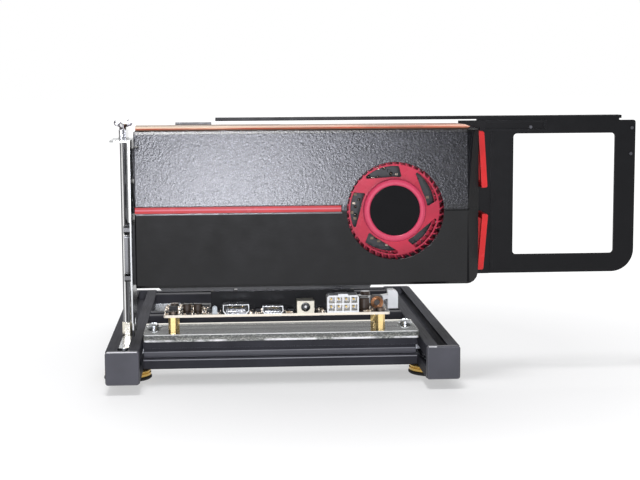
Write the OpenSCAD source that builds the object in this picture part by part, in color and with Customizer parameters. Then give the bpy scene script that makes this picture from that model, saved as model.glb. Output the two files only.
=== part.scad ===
// External graphics card base: an open frame of slotted rails on turned feet carries a clear
// plate, an adapter board with an expansion slot, and a full-length graphics card that is
// held upright by its slot and by a threaded post at its bracket.
// The left front rail end is laid out at x = 0, y = 0; x runs right, y runs back, z up.

/* [Frame] */
// Width of the frame over its side rails
frame_w = 210; // [196:1:230]
// Depth of the frame over its end caps
frame_d = 240; // [228:1:300]
// Side of the square rail profile
profile = 20; // [20:0.5:22]
// Width of the slot mouth in each rail face
slot_w = 6.2; // [6:0.1:6.6]
// Thickness of the lips beside the slot mouth
lip_t = 1.8; // [1.5:0.1:2]
// Width of the hollow behind the lips
cavity_w = 11.5; // [11:0.1:12]
// Side of the solid core of the rail
core_w = 7.8; // [7.4:0.1:8.4]
// Thickness of the diagonal ribs of the rail
rib_t = 1.7; // [1.4:0.1:2]
// Radius of the bore along the core
core_bore_r = 2.1; // [1.8:0.1:2.4]
// Front face of the front cross rail, behind the front of the end caps
front_rail_y = 44.6; // [42:0.1:46]
// Front face of the middle cross rail
middle_rail_y = 124; // [110:1:140]
// Thickness of a plastic end cap
cap_t = 4; // [3:0.5:6]
// Corner radius of an end cap
cap_r = 1.8; // [1:0.1:3]

/* [Feet] */
// Diameter of a foot over its rubber ring
foot_d = 29.4; // [26:0.2:32]
// Height of a foot
foot_h = 6; // [5.5:0.1:8]
// Thickness of the rubber ring under a foot
foot_ring_t = 1.8; // [1.5:0.1:2.2]
// Distance of a foot's centre from the nearer end of the frame
foot_inset = 50; // [40:1:55]

/* [Plate] */
// Depth of the clear plate
plate_d = 40; // [38:1:44]
// Thickness of the clear plate
plate_t = 4.5; // [3:0.5:6]
// Front edge of the clear plate, behind the front of the end caps
plate_y = 29; // [27:0.5:30]
// Gap between the clear plate and each side rail's inner face
plate_gap = 1; // [0.5:0.1:1.5]
// Distance of a plate screw from the plate's end
plate_screw_inset = 5.2; // [4.8:0.1:6]

/* [Adapter board] */
// Length of the adapter board
board_l = 138; // [137:0.5:141]
// Depth of the adapter board
board_d = 38; // [36.5:0.5:40]
// Thickness of the adapter board
board_t = 1.6; // [1.2:0.1:2]
// Left end of the adapter board from the frame's left side
board_x = 33.4; // [32:0.2:35]
// Height of the brass standoffs under the board
standoff_h = 10; // [8:0.5:12]
// Width across the flats of a standoff
standoff_af = 5; // [4.5:0.1:5.5]
// Distance of a standoff from the board's ends
standoff_inset = 5.6; // [4:0.1:6.5]
// Distance of a standoff from the board's long edges
standoff_edge = 4; // [3.4:0.1:5]

/* [Expansion slot] */
// Length of the slot housing
slot_l = 89; // [88:0.5:90]
// Width of the slot housing
slot_housing_w = 7.5; // [7:0.1:8.5]
// Height of the slot housing
slot_h = 11.2; // [10.5:0.1:12]
// Clearance of the card edge on each side in the slot
edge_clear = 0.1; // [0.05:0.01:0.2]
// Length of the latch's paddle beyond the board's end
paddle_l = 6.5; // [5:0.1:8]

/* [Post] */
// Height of the brass hexagon under the rod
post_base_h = 8.5; // [7:0.5:10]
// Width across the flats of the post's hexagons
post_af = 5.5; // [5:0.1:6]
// Diameter of the post rod
rod_d = 5; // [4.4:0.1:5.4]
// Length of the long slot nut that carries the post
post_nut_l = 54; // [50:1:58]
// Span of the wing screw
wing_span = 11.4; // [10:0.2:12]

/* [Card] */
// Length of the card from its bracket to the end of its extension
card_l = 312; // [308:1:316]
// Outer face of the card bracket from the frame's left side
card_x = 15.2; // [14.8:0.1:15.8]
// Front face of the card's board, behind the front of the end caps
card_y = 52; // [51:0.1:52.5]
// Thickness of the card's board
card_t = 1.6; // [1.4:0.1:1.7]
// Height of the card's board above the slot
card_h = 102.5; // [100:0.5:106]
// Width of the two-slot bracket
bracket_w = 38.8; // [38:0.1:39.5]
// Thickness of the bracket sheet
bracket_t = 1; // [0.8:0.1:1.2]
// Height of the bracket's tab underside above the end of its tongues
bracket_h = 116.7; // [114:0.1:120]

/* [Shroud] */
// Length of the shroud
shroud_l = 206.5; // [203:0.5:208]
// Height of the shroud's front
shroud_h = 93; // [90:0.5:94]
// Depth of the shroud in front of the card's board
shroud_d = 35; // [34:0.5:36]
// Wall thickness of the shroud
shroud_wall = 1.6; // [1.2:0.1:2]
// How far the top edge of the front leans back
top_lean = 4; // [2:0.5:6]
// How far the bottom edge of the front leans back
bottom_lean = 1.5; // [1:0.5:3]
// Height of the red stripe
stripe_h = 4; // [3:0.1:5]

/* [Blower] */
// Radius of the shroud's intake opening
intake_r = 29.2; // [28.6:0.1:30]
// Radius of the blower wheel over its blades
wheel_r = 31; // [30.5:0.1:32]
// Depth of the blower wheel
wheel_depth = 20; // [17:0.5:20]
// Outer radius of the wheel's hub
hub_r = 19; // [18:0.1:20]
// Radius of the plain disc on the hub
hub_disc_r = 15; // [14:0.1:16]
// Number of blades on the wheel
blade_count = 44; // [36:1:48]
// Radius of the motor shaft
shaft_r = 1.5; // [1.4:0.1:2]
// Radial running clearance of the wheel on its shaft
shaft_clear = 0.05; // [0.03:0.01:0.08]

/* [Extension] */
// Width of the frame-like extension plate
extension_w = 101; // [98:1:104]
// Height of the extension plate
extension_h = 95; // [92:0.5:98]
// Width of the border right of the window
window_border = 13; // [11:0.5:15]
// Sheet thickness of the extension
extension_t = 1.5; // [1.2:0.1:2]

/* [Hidden] */
$fn = 64;
round_fn = 40;

half = profile / 2;
rail_top = foot_h + profile;
rail_mid = foot_h + half;
rail_l = frame_d - 2 * cap_t;
cross_l = frame_w - 2 * profile;
rib_d = rib_t / sqrt(2);
core_half = core_w / 2;
cavity_half = cavity_w / 2;
nut_neck = slot_w / 2 - 0.2;
nut_wing = cavity_half - 0.35;
cap_bevel = 0.7;
right_rail_x = frame_w - half;
front_mid_y = front_rail_y + half;
rear_rail_y = frame_d - cap_t - profile;
cross_ys = [front_rail_y, middle_rail_y, rear_rail_y];
foot_ys = [foot_inset, frame_d - foot_inset];
foot_xs = [half, right_rail_x];
screw_r = 2;
screw_clear = 0.15;

plate_x = profile + plate_gap;
plate_l = cross_l - 2 * plate_gap;
plate_top = rail_top + plate_t;
plate_screw_xs = [plate_x + plate_screw_inset, plate_x + plate_l - plate_screw_inset];

board_y = plate_y + 2;
board_low = plate_top + standoff_h;
board_top = board_low + board_t;
board_end = board_x + board_l;
standoff_xs = [board_x + standoff_inset, board_end - standoff_inset];
standoff_ys = [board_y + standoff_edge, board_y + board_d - standoff_edge];
board_screw_r = 1.4;

slot_mid_y = card_y + card_t / 2;
slot_x = card_x + 46.8;
slot_end = slot_x + slot_l;
slot_top = board_top + slot_h;
edge_x = slot_x + 2;
edge_l = slot_l - 4;
edge_depth = 8.4;
key_x = edge_x + 12.5;
key_w = 1.9;
latch_pivot_x = slot_end + 4;
latch_pivot_z = board_top + 2.2;
paddle_x = board_end + 0.8;
latch_end = paddle_x + paddle_l;
latch_w = 5;
latch_pin_r = 0.9;
latch_clear = 0.05;
ear_gap = 0.4;

socket_y = board_y - 0.8;

post_x = half;
post_y = front_mid_y;
post_base_top = rail_top + post_base_h;
tongue_z = rail_top + 5;
tab_low = tongue_z + bracket_h;
washer_t = 1.5;
rod_top = tab_low - washer_t;
spacer_h = 5;
stud_r = 1.45;
stud_clear = 0.06;
stud_depth = 8;
spacer_top = tab_low + bracket_t + spacer_h;

bracket_y = card_y + card_t + 1.1 - bracket_w;
slot_pitch = 20.32;
tongue_w = 10.2;
tongue_ys = [card_y - 5.5 - slot_pitch, card_y - 5.5];
port_ys = [tongue_ys[0] + 1.4, tongue_ys[1] - 1.2];
port_depth = 13;
port_h = 36;
small_port_y = tongue_ys[1] - 1.6;
panel_low = tongue_z + 9;
card_low = slot_top + 0.6;
card_top = card_low + card_h;
card_left = card_x + bracket_t + 1.6;
card_right = card_x + 221;

shroud_x = card_x + bracket_t + 1.8;
shroud_end = shroud_x + shroud_l;
shroud_low = card_low + 6.6;
shroud_top = shroud_low + shroud_h;
crease_z = shroud_low + 45.5;
shroud_front = card_y - shroud_d;
end_bevel_l = 7.8;
end_bevel_d = 11;
end_swell = 2.8;
end_flat = 3;
corner_cut_l = 7;
corner_cut_h = 6;
stripe_l = 122.5;
stripe_depth = 1;

port_z = shroud_low + shroud_wall + 0.4 + port_h / 2;
small_port_zs = [port_z + 32, port_z + 53];
small_port_sizes = [[5.6, 15], [5, 16]];

fan_x = card_x + 158;
fan_z = shroud_low + 44.8;
wheel_front = shroud_front + shroud_wall + 1.5;
wheel_back = wheel_front + wheel_depth;
motor_back = card_y;
motor_rise = 7.5;
blade_root_r = wheel_r - 4;

cooler_xs = [card_left + 45, card_left + 105];
cooler_zs = [card_low + 22, card_low + 78];
cooler_mid_x = (cooler_xs[0] + cooler_xs[1]) / 2;
cooler_mid_z = (cooler_zs[0] + cooler_zs[1]) / 2;
cooler_screw_r = 1.5;

extension_y = card_y - extension_t - 1.9;
extension_end = card_x + card_l;
extension_x = extension_end - extension_w;
extension_low = shroud_low + 2;
extension_top = extension_low + extension_h;
bar_t = 2;
bar_floor = 0.7;
window_x = extension_x + 24.2;
window_end = extension_end - window_border;
window_low = extension_low + 11.7;
window_high = extension_top - 8;

left_reach = min(0, half - foot_d / 2);
origin_x = (left_reach + extension_end) / 2;
origin_y = frame_d / 2;

module placed() {
    translate([-origin_x, -origin_y, 0]) children();
}

module rounded_rect(w, h, r) {
    square([w - 2 * r, h], center = true);
    square([w, h - 2 * r], center = true);
    for (x = [-1, 1], y = [-1, 1])
        translate([x * (w / 2 - r), y * (h / 2 - r)]) circle(r, $fn = round_fn);
}

// Where the shroud's end wall stands at a height above or below the flat at the crease
function end_at(z) = shroud_end + end_swell * (z > crease_z
    ? (shroud_top - z) / (shroud_top - crease_z - end_flat)
    : (z - shroud_low - corner_cut_h) / (crease_z - end_flat - shroud_low - corner_cut_h));

// A flat outline in x and z, swept back along y from the given depth
module swept_back(from_y, depth) {
    translate([0, from_y + depth, 0]) rotate([90, 0, 0]) linear_extrude(depth) children();
}

// A flat outline in y and z, swept right along x
module swept_right(from_x, length) {
    translate([from_x, 0, 0]) rotate([90, 0, 90]) linear_extrude(length) children();
}

// Rails

module slot_outline() {
    polygon([[-slot_w / 2, half + 1], [-slot_w / 2, half - lip_t], [-cavity_half, half - lip_t],
        [-cavity_half, cavity_half + rib_d], [-(core_half - rib_d), core_half],
        [core_half - rib_d, core_half], [cavity_half, cavity_half + rib_d],
        [cavity_half, half - lip_t], [slot_w / 2, half - lip_t], [slot_w / 2, half + 1]]);
}

module rail_outline() {
    difference() {
        rounded_rect(profile, profile, 0.8);
        for (turn = [0:90:270]) rotate(turn) slot_outline();
        circle(core_bore_r);
    }
}

module side_rail(x) {
    color("#1c1c1f")
    placed() translate([0, cap_t, rail_mid])
        swept_back(0, rail_l) translate([x, 0]) rail_outline();
}

module cross_rail(y) {
    color("#1c1c1f")
    placed() swept_right(profile, cross_l) translate([y + half, rail_mid]) rail_outline();
}

// The cap's face is bevelled all round, and its peg fills the rail's core bore
module end_cap(x, at_rear) {
    color("#2a2a2d")
    placed() translate([x, at_rear ? frame_d : 0, rail_mid]) mirror([0, at_rear ? 1 : 0, 0]) {
        intersection() {
            swept_back(0, cap_t) rounded_rect(profile, profile, cap_r);
            linear_extrude(profile, center = true) bevelled_face(profile, cap_t);
            swept_right(-half, profile) rotate(90) mirror([0, 1]) bevelled_face(profile, cap_t);
        }
        swept_back(cap_t, 6) circle(core_bore_r - 0.05);
    }
}

module bevelled_face(w, t) {
    polygon([[-w / 2, t], [-w / 2, cap_bevel], [-w / 2 + cap_bevel, 0],
        [w / 2 - cap_bevel, 0], [w / 2, cap_bevel], [w / 2, t]]);
}

// Feet

module foot(x, y) {
    r = foot_d / 2 - 0.4;
    color("#c9a24a")
    placed() translate([x, y, 0]) rotate_extrude()
        polygon([[4.4, foot_ring_t], [r - 0.6, foot_ring_t], [r, foot_ring_t + 0.6],
            [r, foot_h - 2.2], [r - 0.7, foot_h - 1.8], [r - 0.7, foot_h - 1.4],
            [r, foot_h - 1], [r, foot_h - 0.5], [r - 0.5, foot_h], [screw_r + screw_clear, foot_h],
            [screw_r + screw_clear, foot_ring_t + 2.6], [4.4, foot_ring_t + 2.6]]);
}

module foot_ring(x, y) {
    r = foot_d / 2;
    color("#171717")
    placed() translate([x, y, 0]) rotate_extrude()
        polygon([[5.5, 0], [r - 0.6, 0], [r, 0.5], [r, foot_ring_t - 0.4],
            [r - 0.4, foot_ring_t], [5.5, foot_ring_t]]);
}

module foot_screws() {
    color("silver")
    placed() for (x = foot_xs, y = foot_ys) translate([x, y, foot_ring_t + 0.6]) {
        cylinder(r = 3.8, h = 2);
        cylinder(r = screw_r, h = foot_h + 5 - foot_ring_t);
    }
}

// Outline of a nut in the slot of a rail face that points up
module nut_outline() {
    polygon([[-nut_neck, half - 0.2], [-nut_neck, half - lip_t], [-nut_wing, half - lip_t],
        [-nut_wing, half - lip_t - 1], [-3, core_half + 0.8], [3, core_half + 0.8],
        [nut_wing, half - lip_t - 1], [nut_wing, half - lip_t],
        [nut_neck, half - lip_t], [nut_neck, half - 0.2]]);
}

module foot_nuts() {
    color("silver")
    placed() for (x = foot_xs, y = foot_ys) translate([x, y, rail_mid]) difference() {
        swept_back(-6, 12) rotate(180) nut_outline();
        translate([0, 0, -profile]) cylinder(r = screw_r + 0.05, h = profile);
    }
}

// Angle connectors lie in the rails' slots, on the inner sides of each cross rail
module connector(side, y, to_front) {
    leg = 22;
    thick = 3.6;
    wide = 5.6;
    floor_gap = 0.35;
    inset = half - core_half - floor_gap - thick;
    x0 = profile - inset - thick;
    translate([side ? frame_w : 0, y + half, rail_mid])
        mirror([side ? 1 : 0, 0, 0]) mirror([0, to_front ? 0 : 1, 0])
            difference() {
                union() {
                    translate([x0, -half + inset, -wide / 2])
                        cube([profile - x0 + leg - 4, thick, wide]);
                    translate([x0, -half - leg + 6, -wide / 2])
                        cube([thick, leg - 6 + inset + thick, wide]);
                }
                translate([profile + leg - 9, -half, 0]) rotate([-90, 0, 0])
                    cylinder(r = 1.75, h = profile, center = true);
                translate([profile, -half - leg + 11, 0]) rotate([0, 90, 0])
                    cylinder(r = 1.75, h = profile, center = true);
            }
}

module corner_connectors() {
    color("#8f9094")
    placed() for (side = [false, true], y = cross_ys) {
        if (y != front_rail_y) connector(side, y, true);
        if (y != rear_rail_y) connector(side, y, false);
    }
}

module connector_screw_pair(side, y, to_front) {
    leg = 22;
    translate([side ? frame_w : 0, y + half, rail_mid])
        mirror([side ? 1 : 0, 0, 0]) mirror([0, to_front ? 0 : 1, 0]) {
            translate([profile + leg - 9, -core_half - 0.1, 0]) rotate([90, 0, 0]) grub();
            translate([profile - half + core_half + 0.1, -half - leg + 11, 0])
                rotate([0, 90, 0]) grub();
        }
}

module grub() {
    difference() {
        cylinder(r = 1.7, h = 4.6);
        translate([0, 0, 3.2]) cylinder(r = 0.9, h = 2, $fn = 6);
    }
}

module connector_screws() {
    color("#606266")
    placed() for (side = [false, true], y = cross_ys) {
        if (y != front_rail_y) connector_screw_pair(side, y, true);
        if (y != rear_rail_y) connector_screw_pair(side, y, false);
    }
}

// Clear plate

module clear_plate() {
    color([0.85, 0.92, 0.92, 0.45])
    placed() translate([plate_x + plate_l / 2, plate_y + plate_d / 2, rail_top])
        difference() {
            linear_extrude(plate_t) rounded_rect(plate_l, plate_d, 2);
            for (x = plate_screw_xs)
                translate([x - plate_x - plate_l / 2, front_mid_y - plate_y - plate_d / 2, -1])
                    cylinder(r = screw_r + screw_clear, h = plate_t + 2);
            for (x = standoff_xs, y = standoff_ys)
                translate([x - plate_x - plate_l / 2, y - plate_y - plate_d / 2, -1])
                    cylinder(r = board_screw_r + 0.1, h = plate_t + 2);
        }
}

module plate_screws() {
    color("silver")
    placed() for (x = plate_screw_xs) translate([x, front_mid_y, plate_top]) {
        cylinder(r = 4.5, h = 0.8);
        difference() {
            translate([0, 0, 0.8]) intersection() {
                cylinder(r = 3.5, h = 2.4);
                translate([0, 0, -2.4]) sphere(r = 4.8);
            }
            for (turn = [0, 90]) rotate(turn)
                translate([-1.9, -0.4, 2]) cube([3.8, 0.8, 2]);
        }
        translate([0, 0, -plate_t - 4.5]) cylinder(r = screw_r, h = plate_t + 5);
    }
}

module plate_nuts() {
    color("silver")
    placed() for (x = plate_screw_xs) translate([x, front_mid_y, rail_mid]) difference() {
        swept_right(-5, 10) nut_outline();
        cylinder(r = screw_r + 0.05, h = profile);
    }
}

// Adapter board and what it carries

module board_standoffs() {
    color("#d8b64c")
    placed() for (x = standoff_xs, y = standoff_ys) translate([x, y, plate_top]) {
        difference() {
            cylinder(d = standoff_af / cos(30), h = standoff_h, $fn = 6);
            translate([0, 0, standoff_h - 5]) cylinder(r = board_screw_r + 0.05, h = 6);
        }
        translate([0, 0, -plate_t + 0.4]) cylinder(r = board_screw_r, h = plate_t);
    }
}

module board_screws() {
    color("silver")
    placed() for (x = standoff_xs, y = standoff_ys) translate([x, y, board_top]) {
        difference() {
            cylinder(r = 2.7, h = 1.8);
            for (turn = [0, 90]) rotate(turn) translate([-1.5, -0.3, 1]) cube([3, 0.6, 2]);
        }
        translate([0, 0, -board_t - 4]) cylinder(r = board_screw_r, h = board_t + 4.5);
    }
}

module adapter_board() {
    color("#2a2320")
    placed() translate([board_x + board_l / 2, board_y + board_d / 2, board_low])
        difference() {
            linear_extrude(board_t) rounded_rect(board_l, board_d, 1.5);
            for (x = standoff_xs, y = standoff_ys)
                translate([x - board_x - board_l / 2, y - board_y - board_d / 2, -1])
                    cylinder(r = board_screw_r + 0.15, h = board_t + 2);
        }
}

module expansion_slot() {
    color("#151518")
    placed() difference() {
        union() {
            translate([slot_x, slot_mid_y - slot_housing_w / 2, board_top])
                cube([slot_l, slot_housing_w, slot_h]);
            translate([slot_x - 1, slot_mid_y - slot_housing_w / 2 - 0.6, board_top])
                cube([slot_l + 2, slot_housing_w + 1.2, 1.6]);
            for (side = [-1, 1])
                translate([slot_end - 1, slot_mid_y + side * (latch_w / 2 + ear_gap + 0.5) - 0.5,
                    board_top])
                    cube([8, 1, 5]);
        }
        difference() {
            translate([edge_x - 0.3, slot_mid_y - card_t / 2 - edge_clear, slot_top - edge_depth - 0.4])
                cube([edge_l + 0.6, card_t + 2 * edge_clear, edge_depth + 1]);
            translate([key_x + 0.15, slot_mid_y - 2, board_top])
                cube([key_w - 0.3, 4, slot_h - 1.4]);
        }
        translate([latch_pivot_x, slot_mid_y, latch_pivot_z]) rotate([90, 0, 0])
            cylinder(r = latch_pin_r + latch_clear, h = profile, center = true);
    }
}

// Latch seen from the front: a short arm that ends in a rounded paddle beyond the board's end
module slot_latch() {
    paddle_top = board_top + 10.5;
    paddle_low = board_top - 1.2;
    hub = 1.9;
    color("#efeeea")
    placed() {
        swept_back(slot_mid_y - latch_w / 2, latch_w) {
            translate([latch_pivot_x, latch_pivot_z]) {
                circle(hub, $fn = round_fn);
                polygon([[-hub, 0], [-hub, 3.4], [-0.4, 5.2], [3, 3.8],
                    [paddle_x - latch_pivot_x + 1, 5.4], [paddle_x - latch_pivot_x + 1, 2.8],
                    [6, 0.4], [hub, 0]]);
            }
            translate([paddle_x, paddle_low]) square([paddle_l, paddle_top - paddle_low - 3]);
            translate([paddle_x, paddle_low]) square([paddle_l - 3, paddle_top - paddle_low]);
            translate([latch_end - 3, paddle_top - 3]) circle(3, $fn = round_fn);
        }
        translate([latch_pivot_x, slot_mid_y, latch_pivot_z]) rotate([90, 0, 0])
            cylinder(r = latch_pin_r, h = latch_w + 2 * ear_gap + 2, center = true);
    }
}

// Metal socket shell, open to the front, with a contact tongue
module shell_socket(x, w, h, d, taper) {
    wall = 0.4;
    translate([x + w / 2, 0, board_top]) {
        difference() {
            swept_back(socket_y, d) socket_outline(w, h, taper);
            swept_back(socket_y - 1, d - 1.5) translate([0, wall])
                socket_outline(w - 2 * wall, h - 2 * wall, taper);
        }
        translate([-w * 0.36, socket_y + 1.2, h * 0.52]) cube([w * 0.72, d - 3, h * 0.16]);
    }
}

module socket_outline(w, h, taper) {
    polygon([[-w / 2 + taper, 0], [w / 2 - taper, 0], [w / 2, taper * 1.2], [w / 2, h],
        [-w / 2, h], [-w / 2, taper * 1.2]]);
}

module link_socket() {
    color("silver") placed() shell_socket(board_x + 36, 15.8, 6, 12, 1.6);
}

module mini_socket() {
    color("silver") placed() shell_socket(board_x + 60, 12.6, 4.8, 8, 1.2);
}

module dc_socket() {
    w = 10.4;
    h = 7.6;
    color("#e9e2d0")
    placed() translate([board_x + 86.3, socket_y, board_top]) {
        difference() {
            translate([-w / 2, 0, 0]) cube([w, 12, h]);
            translate([0, -1, h / 2]) rotate([-90, 0, 0]) cylinder(r = 2.8, h = 10);
        }
        translate([0, 1, h / 2]) rotate([-90, 0, 0]) cylinder(r = 0.8, h = 9);
    }
}

module power_header() {
    pitch = 4.6;
    w = 4 * pitch + 1;
    h = 10.6;
    color("#f1f0ec")
    placed() translate([board_x + 109.2, socket_y + 0.4, board_top]) difference() {
        union() {
            translate([-w / 2, 0, 0]) cube([w, 12, h]);
            translate([-3, 0, h - 0.5]) cube([6, 9, 1.4]);
        }
        for (column = [-1.5:1:1.5], row = [0, 1])
            translate([column * pitch - 1.8, -1, 1.1 + row * 4.7]) cube([3.6, 10, 3.7]);
        for (end = [-1, 1]) translate([end * w / 2, 6, h]) rotate([0, 45, 0])
            cube([1.6, 14, 1.6], center = true);
    }
}

module can(x, y, r, h) {
    translate([x, y, board_top]) rotate_extrude()
        polygon([[0, 0], [r, 0], [r, 1], [r - 0.25, 1.3], [r, 1.6], [r, h - 0.4],
            [r - 0.4, h], [0, h]]);
}

module board_capacitors() {
    color("#4c3b31")
    placed() {
        can(board_end - 15.2, board_y + 7.4, 3.1, 7.8);
        can(board_end - 15.2, board_y + 14, 3.1, 7.8);
        can(board_end - 12, board_y + 33.2, 3.1, 7.8);
        can(board_x + 14, board_y + 8, 2.5, 5.6);
        can(board_x + 20.6, board_y + 8, 2.5, 5.6);
    }
}

module board_coils() {
    color("#3a2f2a")
    placed() for (place = [[-7, 12], [-26, 14.5]])
        translate([board_end + place[0], board_y + place[1], board_top]) difference() {
            intersection() {
                translate([-3.6, -2.6, 0]) cube([7.2, 5.2, 8.6]);
                translate([0, 0, 4.3]) rotate([90, 0, 0]) cylinder(r = 4.9, h = 6, center = true);
            }
            translate([0, -1.9, 4.3]) rotate([90, 0, 0]) cylinder(r = 1.7, h = 2);
        }
}

module chip(x, y, w, d, h) {
    translate([board_x + x, board_y + y, board_top]) cube([w, d, h]);
}

module board_chips() {
    color("#26262a")
    placed() {
        chip(26, 6, 8, 8, 1.4);
        chip(10, 15, 7, 7, 1.2);
        chip(3, 11, 5, 2.4, 3.6);
        chip(56, 9.5, 3, 4, 1.6);
        chip(75.5, 8, 4, 5, 1.5);
        chip(98, 26.5, 9, 6, 1.6);
        chip(20, 28, 10, 6, 1.6);
        for (k = [0:5]) chip(38 + 7 * k, 13.6, 2, 1.2, 0.8);
        for (k = [0:3]) chip(10 + 2.6 * k, 3, 1.6, 0.9, 0.8);
    }
}

module status_lamp() {
    color("#f6f6ff")
    placed() translate([board_x + 31, board_y + 3, board_top]) {
        cylinder(r = 1.5, h = 3.4);
        translate([0, 0, 3.4]) sphere(r = 1.5);
        cylinder(r = 1.8, h = 0.9);
    }
}

// Post that holds the card's bracket

module post_nut() {
    front_end = post_y - post_nut_l * 0.78;
    color("#aeb6bd")
    placed() difference() {
        intersection() {
            translate([post_x, 0, rail_mid]) swept_back(front_end, post_nut_l) nut_outline();
            translate([post_x, front_end + post_nut_l / 2, rail_mid])
                linear_extrude(profile) {
                    square([profile, post_nut_l - 2 * nut_neck], center = true);
                    for (end = [-1, 1]) translate([0, end * (post_nut_l / 2 - nut_neck)])
                        circle(nut_neck, $fn = round_fn);
                }
        }
        translate([post_x, post_y, rail_mid]) cylinder(r = screw_r + 0.05, h = profile);
    }
}

module hex_bar(h) {
    cylinder(d = post_af / cos(30), h = h, $fn = 6);
}

module post_base() {
    color("#d9c9a0")
    placed() translate([post_x, post_y, rail_top - 0.2]) {
        difference() {
            hex_bar(post_base_h + 0.2);
            translate([0, 0, post_base_h - 4]) cylinder(r = screw_r + 0.05, h = 6);
        }
        translate([0, 0, -4.5]) cylinder(r = screw_r, h = 5);
    }
}

module post_rod() {
    color("#d5d7da")
    placed() translate([post_x, post_y, 0]) difference() {
        union() {
            translate([0, 0, post_base_top]) cylinder(r = rod_d / 2, h = rod_top - post_base_top);
            translate([0, 0, post_base_top - 3.8]) cylinder(r = screw_r, h = 5);
        }
        translate([0, 0, rod_top - stud_depth]) cylinder(r = stud_r + stud_clear, h = stud_depth + 1);
    }
}

module post_washer() {
    color("#202020")
    placed() translate([post_x, post_y, rod_top]) difference() {
        cylinder(r = 3, h = washer_t);
        translate([0, 0, -1]) cylinder(r = stud_r + stud_clear, h = washer_t + 2);
    }
}

module post_spacer() {
    color("#c9ccd0")
    placed() translate([post_x, post_y, tab_low + bracket_t]) difference() {
        hex_bar(spacer_h);
        translate([0, 0, -1]) cylinder(r = stud_r + stud_clear, h = spacer_h + 2);
    }
}

module wing_screw() {
    lift = 0.1;
    color("#d5d7da")
    placed() translate([post_x, post_y, spacer_top + lift]) {
        cylinder(r = 2.5, h = 3.6);
        swept_back(-0.65, 1.3) {
            for (side = [-1, 1]) {
                translate([side * (wing_span / 2 - 2), 4]) circle(2, $fn = round_fn);
                polygon([[0, 0.6], [side * (wing_span / 2 - 0.6), 2.6],
                    [side * (wing_span / 2 - 2.4), 5.96], [0, 3.2]]);
            }
        }
        translate([0, 0, -spacer_h - bracket_t - washer_t - stud_depth + 1])
            cylinder(r = stud_r, h = spacer_h + bracket_t + washer_t + stud_depth);
    }
}

// Graphics card

module tongue(y) {
    top = panel_low + 1;
    polygon([[y - tongue_w / 2, top], [y - tongue_w / 2, tongue_z + 4], [y - 3.6, tongue_z],
        [y + 3.6, tongue_z], [y + tongue_w / 2, tongue_z + 4], [y + tongue_w / 2, top]]);
}

module card_bracket() {
    vent_z = port_z + port_h / 2 + 5;
    vent_pitch = 4.6;
    notch_r = 2.2;
    tab_reach = 11.2;
    tab_end = post_y + 3.4;
    color("#c8cbce")
    placed() {
        swept_right(card_x, bracket_t) difference() {
            union() {
                translate([bracket_y, panel_low]) square([bracket_w, tab_low - panel_low + bracket_t]);
                for (y = tongue_ys) tongue(y);
            }
            for (column = [-1:1], row = [0:8])
                translate([port_ys[0] + column * vent_pitch, vent_z + row * vent_pitch])
                    circle(1.5, $fn = 24);
            for (row = [0:8])
                translate([tongue_ys[1] - 10.2, vent_z + row * vent_pitch]) circle(1.1, $fn = 24);
            for (y = port_ys) translate([y, port_z]) rounded_rect(9.6, port_h - 1.4, 1.5);
            for (k = [0, 1]) translate([small_port_y, small_port_zs[k]])
                rounded_rect(small_port_sizes[k][0] + 0.6, small_port_sizes[k][1] + 0.6, 1);
        }
        difference() {
            translate([card_x - tab_reach, bracket_y, tab_low])
                cube([tab_reach + bracket_t, tab_end - bracket_y, bracket_t]);
            translate([post_x, post_y, tab_low - 1]) cylinder(r = notch_r, h = 3);
            translate([post_x - notch_r, post_y, tab_low - 1]) cube([2 * notch_r, 5, 3]);
            for (y = [tab_end, bracket_y]) translate([card_x - tab_reach, y, tab_low])
                rotate(45) cube([4, 4, 6], center = true);
        }
    }
}

module card_board() {
    bridge_w = 22;
    shoulder_l = 12;
    color("#16171a")
    placed() swept_back(card_y, card_t) difference() {
        union() {
            polygon([[card_left, card_low + 4], [card_left + 10, card_low + 4],
                [card_left + 14, card_low], [edge_x + edge_l + shoulder_l, card_low],
                [edge_x + edge_l + shoulder_l + 4, shroud_low + 1.4], [card_right, shroud_low + 1.4],
                [card_right, card_top - 2],
                [card_left + 90, card_top - 2], [card_left + 88, card_top],
                [card_left + 20, card_top], [card_left + 18, card_top - 5],
                [card_left, card_top - 5]]);
            polygon([[edge_x, card_low + 1], [edge_x, card_low - 7.6], [edge_x + 0.8, card_low - 8.4],
                [edge_x + edge_l - 0.8, card_low - 8.4], [edge_x + edge_l, card_low - 7.6],
                [edge_x + edge_l, card_low + 1]]);
            translate([card_left + 24, card_top - 1]) square([bridge_w, 2.6]);
        }
        translate([key_x, card_low - 12]) square([key_w, 12.5]);
        for (x = cooler_xs, z = cooler_zs) translate([x, z]) circle(cooler_screw_r + 0.1);
    }
}

// Two tall connectors side by side behind the bracket, each with its shell standing out
module port_stack() {
    body_w = 12;
    color("#dadbdc")
    placed() for (y = port_ys) {
        translate([card_x + bracket_t, y - body_w / 2, port_z - port_h / 2])
            cube([port_depth, y == port_ys[1] ? card_y - y + body_w / 2 : body_w, port_h]);
        swept_right(card_x - 4, bracket_t + 5) translate([y, port_z]) difference() {
            rounded_rect(8.6, 24, 1.5);
            rounded_rect(7.4, 22.8, 1.1);
        }
        swept_right(card_x - 2.5, bracket_t + 3.5)
            translate([y - 2, port_z - 10]) square([4, 20]);
        for (z = [-14.5, 14.5]) translate([card_x - 4.5, y, port_z + z])
            rotate([0, 90, 0]) cylinder(d = 4.8, h = bracket_t + 4.6, $fn = 6);
    }
}

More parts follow.
